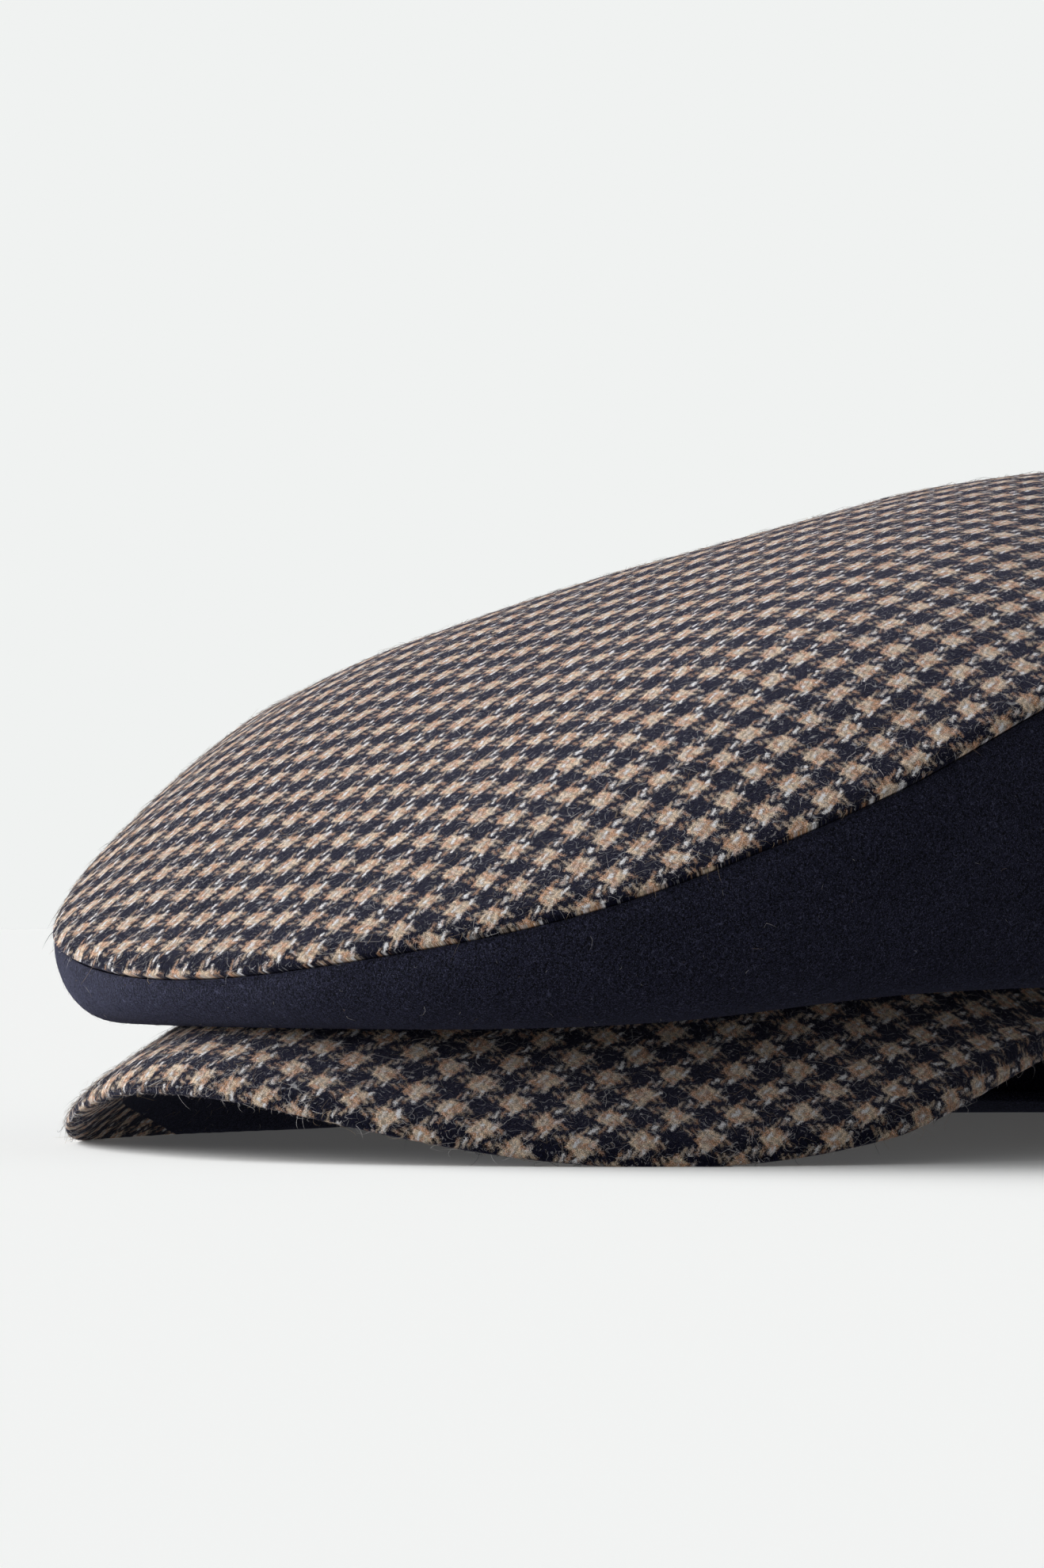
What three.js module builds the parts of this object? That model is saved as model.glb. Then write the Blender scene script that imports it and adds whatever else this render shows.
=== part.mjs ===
// Flat cap: a houndstooth crown panel, a navy side band and an arched houndstooth peak.
// Millimetres, +Z up. The front of the cap faces -Y and the wearer's left is +X.
// Lengths "back" are measured from the foremost point of the crown seam towards +Y.

import * as THREE from 'three';

// Overall sizes
const CAP_LENGTH = 270;
const MIDDLE_BACK = 136;
const CROWN_HALF_WIDTH = 98;
const WIDEST_BACK = 125;
const CROWN_SQUARENESS = 2.1;

// Cloth and gaps
const CROWN_CLOTH = 2.0;
const BAND_CLOTH = 1.8;
const PIECE_GAP = 0.28;
const SEAM_STEP = 0.8;

// Turned edge of the crown panel: how far its shoulder lies in from and above the seam
const EDGE_IN = 2;
const EDGE_UP = 3;
const EDGE_BEND = 1.4;
const EDGE_SHARE = 0.9;

// Side band: how long the wall keeps its first direction, how round the lip is
// and how far the hem stays level, each as a share of its own drop, tuck or run
const WALL_KEEP = 0.32;
const LIP_ROUND = 0.75;
const HEM_LEVEL = 0.25;

// Head opening
const OPENING_HALF_WIDTH = 77;
const OPENING_FRONT_BACK = 45;
const OPENING_REAR_BACK = 258;
const OPENING_RISE_BACK = 122;

// Peak
const PEAK_FRONT_BACK = -2;
const PEAK_HALF_WIDTH = 88.5;
const PEAK_OUTLINE_DEPTH = 93;
const PEAK_SQUARENESS = 1.8;
const PEAK_FRONT_HEIGHT = 12.2;
const PEAK_SLOPE = 0.525;
const PEAK_LEVEL_FROM = 63;
const PEAK_LEVEL_RATE = 0.005;
const PEAK_ARCH_SLOPE = 0.79;
const PEAK_ARCH_ROUND = 42;
const PEAK_HALF_THICKNESS = 2.1;
const PEAK_EDGE_FROM = 0.9;
const PEAK_EDGE_ROUND = 0.97;
const PEAK_REST_THICKNESS = 0.8;
const PEAK_END_ANGLE = 88;
const PEAK_JOINT_SHARE = 0.85;
const PEAK_TAPER_FROM = 0.8;
const PEAK_TAPER_END = 0.35;

// Sag of the soft peak on the wearer's right, and where it starts and is full
const FAR_SAG = 16;
const FAR_SAG_SIDE = { from: 30, to: 85 };
const FAR_SAG_BACK = { from: 30, to: 90 };

// Mesh divisions
const ROUND_STEPS = 72;
const CROWN_OUTER_RINGS = 16;
const CROWN_INNER_RINGS = 11;
const CROWN_EDGE_RINGS = 4;
const BAND_WALL_STEPS = 8;
const BAND_HEM_STEPS = 5;
const PEAK_STEPS = 46;
const PEAK_CROSS_STEPS = 9;
const SLOPE_STEP = 0.001;

// Cap sections, one row for each angle round the cap from the front (0) to the back (180).
// seam: seam height. lip: height of the tucked lower lip on the wearer's left. farLip: the same on
// their right, where the soft band sags to the table. rise: how far the hem climbs inwards.
// tuck: distance of the lip in from the seam.
const SECTIONS = [
  { angle: 0, seam: 26.4, lip: 19, farLip: 19, rise: 0, tuck: 9 },
  { angle: 20, seam: 29.5, lip: 19, farLip: 19, rise: 0, tuck: 10 },
  { angle: 40, seam: 37, lip: 20, farLip: 20, rise: 0, tuck: 13 },
  { angle: 60, seam: 52, lip: 24, farLip: 19, rise: 2, tuck: 15 },
  { angle: 80, seam: 71, lip: 25, farLip: 5, rise: 3, tuck: 13 },
  { angle: 110, seam: 75.5, lip: 22, farLip: 0, rise: 3, tuck: 11 },
  { angle: 145, seam: 71, lip: 12, farLip: 0, rise: 2, tuck: 8 },
  { angle: 164, seam: 63, lip: 2.5, farLip: 0, rise: 0, tuck: 6.5 },
  { angle: 174, seam: 59, lip: 0, farLip: 0, rise: 0, tuck: 6 },
  { angle: 180, seam: 58.5, lip: 0, farLip: 0, rise: 0, tuck: 6 },
];

// Swelling of the crown above the sheet stretched over its seam, one row for each wave.
// amount: height. reach: how strongly the wave keeps to the edge. waves: crests round the cap.
// lean: 1 turns the wave towards the wearer's left instead of the front.
const SWELLS = [
  { amount: 36, reach: 0, waves: 0, lean: 0 },
  { amount: -24, reach: 1, waves: 1, lean: 0 },
  { amount: 5, reach: 1, waves: 1, lean: 1 },
  { amount: 21, reach: 2, waves: 0, lean: 0 },
  { amount: 11, reach: 2, waves: 2, lean: 0 },
  { amount: -3, reach: 3, waves: 1, lean: 0 },
  { amount: -12, reach: 3, waves: 3, lean: 0 },
  { amount: -5.5, reach: 4, waves: 0, lean: 0 },
];
const SEAM_WAVES = 12;

const radians = THREE.MathUtils.degToRad;

// Smooth value of one column between the rows, level at the front and the back.
function sectionValue(column, turn) {
  const angle = Math.abs(THREE.MathUtils.radToDeg(Math.atan2(Math.sin(turn), Math.cos(turn))));
  const last = SECTIONS.length - 1;
  const slopeAt = (i) => {
    if (i === 0 || i === last) return 0;
    const before = SECTIONS[i - 1];
    const after = SECTIONS[i + 1];
    const turnsBack = (after[column] - SECTIONS[i][column]) * (SECTIONS[i][column] - before[column]) <= 0;
    return turnsBack ? 0 : (after[column] - before[column]) / (after.angle - before.angle);
  };
  let i = 0;
  while (i < last - 1 && angle > SECTIONS[i + 1].angle) i += 1;
  const start = SECTIONS[i];
  const end = SECTIONS[i + 1];
  const span = end.angle - start.angle;
  const s = (angle - start.angle) / span;
  const blend = s * s * (3 - 2 * s);
  const startPull = s * (1 - s) * (1 - s) * span * slopeAt(i);
  const endPull = s * s * (s - 1) * span * slopeAt(i + 1);
  return start[column] + (end[column] - start[column]) * blend + startPull + endPull;
}

// Height of the tucked lower lip: the wearer's right side, at negative turns, sags lower.
function lipHeight(turn) {
  return sectionValue(Math.sin(turn) < 0 ? 'farLip' : 'lip', turn);
}

// A point from its sideways position, its distance back from the crown front and its height.
function place(side, back, height) {
  return new THREE.Vector3(side, back - MIDDLE_BACK, height);
}

function backOf(point) {
  return point.y + MIDDLE_BACK;
}

function cubic(a, b, c, d, s) {
  const r = 1 - s;
  return new THREE.Vector3()
    .addScaledVector(a, r * r * r)
    .addScaledVector(b, 3 * r * r * s)
    .addScaledVector(c, 3 * r * s * s)
    .addScaledVector(d, s * s * s);
}

function quadratic(a, b, c, s) {
  const r = 1 - s;
  return new THREE.Vector3()
    .addScaledVector(a, r * r)
    .addScaledVector(b, 2 * r * s)
    .addScaledVector(c, s * s);
}

// Rounded-square share of a sine or cosine: an ellipse at a squareness of 2
function squared(value, squareness) {
  return Math.sign(value) * Math.abs(value) ** (2 / squareness);
}

// Crown seam
function seamPoint(turn) {
  const reach = Math.cos(turn) > 0 ? WIDEST_BACK : CAP_LENGTH - WIDEST_BACK;
  const back = WIDEST_BACK - reach * squared(Math.cos(turn), CROWN_SQUARENESS);
  const side = CROWN_HALF_WIDTH * squared(Math.sin(turn), CROWN_SQUARENESS);
  return place(side, back, sectionValue('seam', turn));
}

// Share of each wave in the seam's rise and fall
function seamWaves() {
  const shares = [];
  for (let waves = 0; waves < SEAM_WAVES; waves += 1) {
    let sum = 0;
    for (let j = 0; j < ROUND_STEPS; j += 1) {
      const turn = 2 * Math.PI * j / ROUND_STEPS;
      sum += sectionValue('seam', turn) * Math.cos(waves * turn);
    }
    shares.push(sum * (waves === 0 ? 1 : 2) / ROUND_STEPS);
  }
  return shares;
}

const SEAM_SHARES = seamWaves();

// Height of the crown panel: the seam carried smoothly inwards, plus the swelling
function domeHeight(turn, radius) {
  let height = EDGE_UP;
  SEAM_SHARES.forEach((share, waves) => {
    height += share * radius ** waves * Math.cos(waves * turn);
  });
  for (const { amount, reach, waves, lean } of SWELLS) {
    const wave = lean ? Math.sin(waves * turn) : Math.cos(waves * turn);
    height += (1 - radius * radius) * amount * radius ** reach * wave;
  }
  return height;
}

function domePoint(turn, radius) {
  const middle = place(0, WIDEST_BACK, 0);
  const spoke = seamPoint(turn).sub(middle).setZ(0);
  const reach = radius * (spoke.length() - EDGE_IN);
  const point = middle.addScaledVector(spoke.normalize(), reach);
  return point.setZ(domeHeight(turn, radius));
}

// Outer face of the crown panel: the dome, then the turned edge down to the seam
function crownPoint(turn, share) {
  if (share <= EDGE_SHARE) return domePoint(turn, share / EDGE_SHARE);
  const shoulder = domePoint(turn, 1);
  const onward = shoulder.clone().sub(domePoint(turn, 1 - SLOPE_STEP)).normalize();
  const bend = shoulder.clone().addScaledVector(onward, EDGE_BEND);
  return quadratic(shoulder, bend, seamPoint(turn), (share - EDGE_SHARE) / (1 - EDGE_SHARE));
}

// Unit normal of a surface given as a function of the turn and the share along the section.
function surfaceNormal(surface, turn, share) {
  const low = Math.max(share - SLOPE_STEP, 0);
  const high = Math.min(share + SLOPE_STEP, 1);
  const along = surface(turn, high).sub(surface(turn, low));
  const around = surface(turn + SLOPE_STEP, share).sub(surface(turn - SLOPE_STEP, share));
  return along.cross(around).normalize();
}

// Head opening: an oval whose rim rides on the peak and lies flat at the back.
function openingPoint(turn) {
  const middle = (OPENING_FRONT_BACK + OPENING_REAR_BACK) / 2;
  const reach = (OPENING_REAR_BACK - OPENING_FRONT_BACK) / 2;
  const side = OPENING_HALF_WIDTH * Math.sin(turn);
  const back = middle - reach * Math.cos(turn);
  const rimHeight = lipHeight(turn) + sectionValue('rise', turn);
  const onPeak = peakTop(side, back) + PIECE_GAP;
  const height = back < OPENING_RISE_BACK ? onPeak : rimHeight;
  return place(side, back, height);
}

// Height of the peak's upper face
function peakTop(side, back) {
  const run = back - PEAK_FRONT_BACK;
  const past = Math.max(run - PEAK_LEVEL_FROM, 0);
  const rise = PEAK_SLOPE * run - PEAK_LEVEL_RATE * past * past;
  const arch = PEAK_ARCH_SLOPE * (Math.hypot(side, PEAK_ARCH_ROUND) - PEAK_ARCH_ROUND);
  const sagSide = THREE.MathUtils.smoothstep(-side, FAR_SAG_SIDE.from, FAR_SAG_SIDE.to);
  const sagBack = THREE.MathUtils.smoothstep(back, FAR_SAG_BACK.from, FAR_SAG_BACK.to);
  return PEAK_FRONT_HEIGHT + rise - arch - FAR_SAG * sagSide * sagBack;
}

// Outer face of the side band: down from the seam to the lip, then in along the hem.
function bandPoint(turn, share) {
  const wallShare = BAND_WALL_STEPS / (BAND_WALL_STEPS + BAND_HEM_STEPS);
  const seam = seamPoint(turn);
  const crownNormal = surfaceNormal(crownPoint, turn, 1);
  const crownEnd = crownPoint(turn, 1).sub(crownPoint(turn, 1 - SLOPE_STEP)).normalize();
  const top = seam.clone().addScaledVector(crownEnd, PIECE_GAP).addScaledVector(crownNormal, -SEAM_STEP);
  const rim = openingPoint(turn);
  const inward = new THREE.Vector3(rim.x - seam.x, rim.y - seam.y, 0).normalize();
  const lip = seam.clone().addScaledVector(inward, sectionValue('tuck', turn));
  lip.z = lipHeight(turn);
  const hemRun = Math.hypot(rim.x - lip.x, rim.y - lip.y);
  const knee = lip.clone().addScaledVector(inward, HEM_LEVEL * hemRun);
  const below = top.clone().addScaledVector(crownEnd, WALL_KEEP * (top.z - lip.z));
  const beside = lip.clone().addScaledVector(inward, -LIP_ROUND * sectionValue('tuck', turn));
  const point = share <= wallShare
    ? cubic(top, below, beside, lip, share / wallShare)
    : quadratic(lip, knee, rim, (share - wallShare) / (1 - wallShare));
  if (backOf(point) < OPENING_RISE_BACK) {
    point.z = Math.max(point.z, peakTop(point.x, backOf(point)) + PIECE_GAP);
  }
  return point;
}

// Closed body from rings of points: pole caps close the ends, or the rings join end to end.
function bodyFromRings(rings, ringsJoin, pointsJoin) {
  const positions = [];
  const starts = [];
  for (const ring of rings) {
    starts.push(positions.length / 3);
    for (const point of ring) positions.push(point.x, point.y, point.z);
  }
  const faces = [];
  const ringCount = ringsJoin ? rings.length : rings.length - 1;
  for (let i = 0; i < ringCount; i += 1) {
    const next = (i + 1) % rings.length;
    const count = Math.max(rings[i].length, rings[next].length);
    const edges = pointsJoin ? count : count - 1;
    for (let j = 0; j < edges; j += 1) {
      const k = (j + 1) % count;
      const a = starts[i] + Math.min(j, rings[i].length - 1);
      const b = starts[i] + Math.min(k, rings[i].length - 1);
      const c = starts[next] + Math.min(k, rings[next].length - 1);
      const d = starts[next] + Math.min(j, rings[next].length - 1);
      if (a !== b) faces.push(a, b, c);
      if (c !== d) faces.push(a, c, d);
    }
  }
  const geometry = new THREE.BufferGeometry();
  geometry.setAttribute('position', new THREE.Float32BufferAttribute(positions, 3));
  geometry.setIndex(faces);
  return geometry;
}

// Flat fan caps over the first and last ring of an open sweep
function capEnds(geometry, ringLength, ringCount) {
  const faces = Array.from(geometry.index.array);
  const lastStart = (ringCount - 1) * ringLength;
  const half = ringLength / 2;
  for (let j = 0; j < half - 1; j += 1) {
    const across = ringLength - 1 - j;
    faces.push(j, across - 1, j + 1);
    faces.push(j, across, across - 1);
    faces.push(lastStart + j, lastStart + j + 1, lastStart + across - 1);
    faces.push(lastStart + j, lastStart + across - 1, lastStart + across);
  }
  geometry.setIndex(faces);
  return geometry;
}

function aroundRing(pointAt) {
  const ring = [];
  for (let j = 0; j < ROUND_STEPS; j += 1) ring.push(pointAt(-2 * Math.PI * j / ROUND_STEPS));
  return ring;
}

function offsetPoint(surface, turn, share, depth) {
  return surface(turn, share).addScaledVector(surfaceNormal(surface, turn, share), -depth);
}

// Shares along the crown section, closer together in the turned edge
function crownShares(count) {
  const domeRings = count - CROWN_EDGE_RINGS;
  const shares = [];
  for (let i = 1; i <= domeRings; i += 1) {
    shares.push(EDGE_SHARE * i / domeRings);
  }
  for (let i = 1; i <= CROWN_EDGE_RINGS; i += 1) {
    shares.push(EDGE_SHARE + (1 - EDGE_SHARE) * i / CROWN_EDGE_RINGS);
  }
  return shares;
}

function crownTop() {
  const rings = [[crownPoint(0, 0)]];
  for (const share of crownShares(CROWN_OUTER_RINGS)) {
    rings.push(aroundRing((turn) => crownPoint(turn, share)));
  }
  for (const share of crownShares(CROWN_INNER_RINGS).reverse()) {
    rings.push(aroundRing((turn) => offsetPoint(crownPoint, turn, share, CROWN_CLOTH)));
  }
  rings.push([offsetPoint(crownPoint, 0, SLOPE_STEP, CROWN_CLOTH)]);
  return bodyFromRings(rings, false, true);
}

function sideBand() {
  const rings = [];
  const steps = BAND_WALL_STEPS + BAND_HEM_STEPS;
  for (let i = 0; i <= steps; i += 1) {
    rings.push(aroundRing((turn) => bandPoint(turn, i / steps)));
  }
  for (let i = steps; i >= 0; i -= 1) {
    rings.push(aroundRing((turn) => offsetPoint(bandPoint, turn, i / steps, BAND_CLOTH)));
  }
  return bodyFromRings(rings, true, true);
}

// One slice across the peak, from the joint out over the rolled edge and back underneath
function peakSlice(position) {
  const turn = radians(PEAK_END_ANGLE) * position;
  const joint = openingPoint(turn * PEAK_JOINT_SHARE);
  const outlineSide = PEAK_HALF_WIDTH * squared(Math.sin(turn), PEAK_SQUARENESS);
  const outlineBack = PEAK_FRONT_BACK + PEAK_OUTLINE_DEPTH * (1 - squared(Math.cos(turn), PEAK_SQUARENESS));
  const past = THREE.MathUtils.clamp((Math.abs(position) - PEAK_TAPER_FROM) / (1 - PEAK_TAPER_FROM), 0, 1);
  const taper = 1 - (1 - PEAK_TAPER_END) * past * past;
  const upper = [];
  const lower = [];
  for (let i = 0; i <= PEAK_CROSS_STEPS; i += 1) {
    const even = i / PEAK_CROSS_STEPS;
    const share = 1 - (1 - even) * (1 - even);
    const out = share * taper;
    const side = joint.x + (outlineSide - joint.x) * out;
    const back = backOf(joint) + (outlineBack - backOf(joint)) * out;
    const middle = peakTop(side, back) - PEAK_HALF_THICKNESS;
    const edge = Math.max(share - PEAK_EDGE_FROM, 0) / (1 - PEAK_EDGE_FROM);
    const half = PEAK_HALF_THICKNESS * Math.sqrt(1 - PEAK_EDGE_ROUND * edge * edge);
    upper.push(place(side, back, Math.max(middle + half, PEAK_REST_THICKNESS)));
    lower.push(place(side, back, Math.max(middle - half, 0)));
  }
  return upper.concat(lower.reverse());
}

function peakBody() {
  const rings = [];
  for (let i = 0; i <= PEAK_STEPS; i += 1) rings.push(peakSlice(2 * i / PEAK_STEPS - 1));
  const body = bodyFromRings(rings, false, true);
  return capEnds(body, rings[0].length, rings.length);
}

function piece(name, geometry, color, roughness) {
  const material = new THREE.MeshStandardMaterial({ color, roughness, metalness: 0 });
  material.name = name;
  geometry.computeVertexNormals();
  const mesh = new THREE.Mesh(geometry, material);
  mesh.name = name;
  return mesh;
}

const cap = new THREE.Group();
cap.name = 'flat_cap';
cap.add(piece('crown_top', crownTop(), 0x8a7d78, 0.95));
cap.add(piece('side_band', sideBand(), 0x171b26, 0.95));
cap.add(piece('peak', peakBody(), 0x8a7d78, 0.95));

export default cap;
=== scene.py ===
"""Flat cap: a houndstooth crown panel over a navy side band, with an arched houndstooth peak."""

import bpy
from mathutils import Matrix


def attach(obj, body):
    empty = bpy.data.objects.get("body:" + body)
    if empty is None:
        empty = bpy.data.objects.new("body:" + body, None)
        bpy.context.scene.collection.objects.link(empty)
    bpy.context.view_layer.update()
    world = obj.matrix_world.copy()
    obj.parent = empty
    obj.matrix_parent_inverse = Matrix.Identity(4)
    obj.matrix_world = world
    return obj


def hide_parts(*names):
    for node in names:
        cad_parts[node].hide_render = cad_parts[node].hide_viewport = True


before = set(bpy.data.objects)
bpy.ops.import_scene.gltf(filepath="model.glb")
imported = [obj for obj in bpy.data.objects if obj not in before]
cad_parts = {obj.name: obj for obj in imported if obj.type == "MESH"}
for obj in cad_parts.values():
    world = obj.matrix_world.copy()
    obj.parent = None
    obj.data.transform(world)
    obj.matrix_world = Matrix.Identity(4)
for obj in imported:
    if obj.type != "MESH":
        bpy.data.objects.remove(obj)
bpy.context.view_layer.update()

import math

import bpy
import numpy as np
from bpy.props import FloatProperty, FloatVectorProperty, PointerProperty
from mathutils import Vector

bl_info = {
    "name": "Flat cap",
    "version": (1, 0, 0),
    "blender": (4, 5, 0),
    "location": "3D View > Sidebar > Flat cap",
    "description": "Dresses the solids of a flat cap in houndstooth and navy wool",
    "category": "Object",
}

# One millimetre and the distance within which meeting edges are merged, both in metres
MM = 0.001
WELD_DISTANCE = 0.000004

# Length that stands in for none at all, and a step just past half of a ring
LEAST_LENGTH = 1e-12
JUST_PAST = 1e-9

# Overall sizes in millimetres. "Back" is measured from the foremost point of the crown seam.
CAP_LENGTH = 270.0
MIDDLE_BACK = 136.0
CROWN_HALF_WIDTH = 98.0
WIDEST_BACK = 125.0
CROWN_SQUARENESS = 2.1
PIECE_GAP = 0.28
SEAM_STEP = 0.8

# Turned edge of the crown panel: how far its shoulder lies in from and above the seam
EDGE_IN = 2.0
EDGE_UP = 3.0
EDGE_BEND = 1.4
EDGE_SHARE = 0.9

# Side band
WALL_KEEP = 0.32
LIP_ROUND = 0.75
HEM_LEVEL = 0.25
WALL_SHARE = 0.62

# Head opening
OPENING_HALF_WIDTH = 77.0
OPENING_FRONT_BACK = 45.0
OPENING_REAR_BACK = 258.0
OPENING_RISE_BACK = 122.0

# Peak
PEAK_FRONT_BACK = -2.0
PEAK_HALF_WIDTH = 88.5
PEAK_OUTLINE_DEPTH = 93.0
PEAK_SQUARENESS = 1.8
PEAK_FRONT_HEIGHT = 12.2
PEAK_SLOPE = 0.525
PEAK_LEVEL_FROM = 63.0
PEAK_LEVEL_RATE = 0.005
PEAK_ARCH_SLOPE = 0.79
PEAK_ARCH_ROUND = 42.0
PEAK_HALF_THICKNESS = 2.1
PEAK_EDGE_FROM = 0.9
PEAK_EDGE_ROUND = 0.97
PEAK_REST_THICKNESS = 0.8
PEAK_END_ANGLE = 88.0
PEAK_JOINT_SHARE = 0.85
PEAK_TAPER_FROM = 0.8
PEAK_TAPER_END = 0.35

# Share of the ring round the peak from which its underside is faced with navy, a plain dark facing that is
# partly painted shade: it stands in for the shade under the peak
SHADE_FACING_FROM = 0.72

# Sag of the soft peak on the wearer's right, and where it starts and is full
FAR_SAG = 16.0
FAR_SAG_SIDE = (30.0, 85.0)
FAR_SAG_BACK = (30.0, 90.0)

# Mesh divisions
CROWN_COLUMNS = 360
CROWN_DOME_ROWS = 44
CROWN_EDGE_ROWS = 8
BAND_COLUMNS = 300
BAND_ROWS = 36
FLANGE_ROWS = 2
PEAK_COLUMNS = 180
PEAK_CROSS_ROWS = 30
SEAM_WAVES = 12
SEAM_SAMPLES = 72
SLOPE_STEP = 0.001

# Seam allowance of the side band, turned up behind the crown's cloth
FLANGE_SHARE = 0.965
FLANGE_DEPTH = 2.5

# Flat cloth laid over the dome: lattice step, margin past the seam, and step along a thread
GRAIN_STEP = 2.0
GRAIN_MARGIN = 4.0
LATTICE_EDGE = 1.001
THREAD_STEP = 1.0
THREAD_STEPS = 210
DOME_LIMIT = 1.06
GRAIN_LOOK_BACK = 0.98
POLE_SHARE = 0.02

# Cloth of the peak: where it is unrolled from one row to the next, rows looked back over there, and the
# step across the arch
PEAK_ROLL_FROM = 0.65
PEAK_ROLL_ROWS = 3
PEAK_ARCH_STEP = 0.5

# Slight unevenness of the soft cloth, and the shares along each panel where it dies away
RIPPLE_WAVES = 12
RIPPLE_SHORTEST = 14.0
RIPPLE_LONGEST = 46.0
CROWN_RIPPLE = 0.05
CROWN_RIPPLE_SEED = 3
CROWN_EDGE_RIPPLE = 0.25
BAND_RIPPLE = 0.22
BAND_RIPPLE_SEED = 5
BAND_RIPPLE_FULL = 0.08
BAND_RIPPLE_END = 0.5
BAND_RIPPLE_FADE = 0.15
BACK_SEAM_WIDTH = 1.6

# Houndstooth: yarns in a repeat, yarns in a step of the twill and how many of them one floats over
YARNS_PER_REPEAT = 8
TWILL_YARNS = 4
TWILL_FLOAT = 2

# Cap sections, one value for each angle round the cap from the front (0) to the back (180).
# seam: seam height. lip: height of the tucked lower lip on the wearer's left. far_lip: the same on
# their right, where the soft band sags to the table. rise: how far the hem climbs inwards.
# tuck: distance of the lip in from the seam.
SECTIONS = {
    "angle": (0, 20, 40, 60, 80, 110, 145, 164, 174, 180),
    "seam": (26.4, 29.5, 37, 52, 71, 75.5, 71, 63, 59, 58.5),
    "lip": (19, 19, 20, 24, 25, 22, 12, 2.5, 0, 0),
    "far_lip": (19, 19, 20, 19, 5, 0, 0, 0, 0, 0),
    "rise": (0, 0, 0, 2, 3, 3, 2, 0, 0, 0),
    "tuck": (9, 10, 13, 15, 13, 11, 8, 6.5, 6, 6),
}

# Swelling of the crown above the sheet stretched over its seam, one row for each wave.
# amount: height. reach: how strongly the wave keeps to the edge. waves: crests round the cap.
# lean: 1 turns the wave towards the wearer's left instead of the front.
SWELLS = [
    {"amount": 36, "reach": 0, "waves": 0, "lean": 0},
    {"amount": -24, "reach": 1, "waves": 1, "lean": 0},
    {"amount": 5, "reach": 1, "waves": 1, "lean": 1},
    {"amount": 21, "reach": 2, "waves": 0, "lean": 0},
    {"amount": 11, "reach": 2, "waves": 2, "lean": 0},
    {"amount": -3, "reach": 3, "waves": 1, "lean": 0},
    {"amount": -12, "reach": 3, "waves": 3, "lean": 0},
    {"amount": -5.5, "reach": 4, "waves": 0, "lean": 0},
]


# Shape of the cap


def section_value(row, turn):
    """Smooth value of one row of SECTIONS between its angles, level at the front and the back."""
    angle = np.abs(np.degrees(np.arctan2(np.sin(turn), np.cos(turn))))
    angles = np.array(SECTIONS["angle"], float)
    values = np.array(SECTIONS[row], float)
    steps = np.diff(values)
    slopes = np.zeros(len(values))
    slopes[1:-1] = (values[2:] - values[:-2]) / (angles[2:] - angles[:-2])
    slopes[1:-1][steps[1:] * steps[:-1] <= 0] = 0
    i = np.clip(np.searchsorted(angles, angle) - 1, 0, len(values) - 2)
    span = angles[i + 1] - angles[i]
    s = (angle - angles[i]) / span
    blend = s * s * (3 - 2 * s)
    start_pull = s * (1 - s) ** 2 * span * slopes[i]
    end_pull = s * s * (s - 1) * span * slopes[i + 1]
    return values[i] + (values[i + 1] - values[i]) * blend + start_pull + end_pull


def lip_height(turn):
    return np.where(np.sin(turn) < 0, section_value("far_lip", turn), section_value("lip", turn))


def place(side, back, height):
    return np.stack(np.broadcast_arrays(side, back - MIDDLE_BACK, height), -1)


def back_of(point):
    return point[..., 1] + MIDDLE_BACK


def unit(vector):
    return vector / np.maximum(np.linalg.norm(vector, axis=-1, keepdims=True), LEAST_LENGTH)


def quadratic(a, b, c, s):
    s = s[..., None]
    return a * (1 - s) ** 2 + 2 * b * s * (1 - s) + c * s * s


def cubic(a, b, c, d, s):
    s = s[..., None]
    r = 1 - s
    return a * r ** 3 + 3 * b * r * r * s + 3 * c * r * s * s + d * s ** 3


def squared(value, squareness):
    return np.sign(value) * np.abs(value) ** (2 / squareness)


def seam_point(turn):
    reach = np.where(np.cos(turn) > 0, WIDEST_BACK, CAP_LENGTH - WIDEST_BACK)
    back = WIDEST_BACK - reach * squared(np.cos(turn), CROWN_SQUARENESS)
    side = CROWN_HALF_WIDTH * squared(np.sin(turn), CROWN_SQUARENESS)
    return place(side, back, section_value("seam", turn))


def seam_shares():
    """Share of each wave in the seam's rise and fall."""
    turn = 2 * np.pi * np.arange(SEAM_SAMPLES) / SEAM_SAMPLES
    height = section_value("seam", turn)
    shares = [2 * np.mean(height * np.cos(waves * turn)) for waves in range(SEAM_WAVES)]
    shares[0] /= 2
    return shares


SEAM_SHARES = seam_shares()


def dome_height(turn, radius):
    height = EDGE_UP + np.zeros_like(turn * radius)
    for waves, share in enumerate(SEAM_SHARES):
        height = height + share * radius ** waves * np.cos(waves * turn)
    for row in SWELLS:
        wave = np.sin(row["waves"] * turn) if row["lean"] else np.cos(row["waves"] * turn)
        height = height + (1 - radius ** 2) * row["amount"] * radius ** row["reach"] * wave
    return height


def dome_point(turn, radius):
    spoke = seam_point(turn)
    spoke[..., 1] -= WIDEST_BACK - MIDDLE_BACK
    spoke[..., 2] = 0
    reach = radius * (np.linalg.norm(spoke, axis=-1) - EDGE_IN)
    point = place(0.0 * turn, WIDEST_BACK + 0.0 * turn, 0.0 * turn) + unit(spoke) * reach[..., None]
    point[..., 2] = dome_height(turn, radius)
    return point


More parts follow.
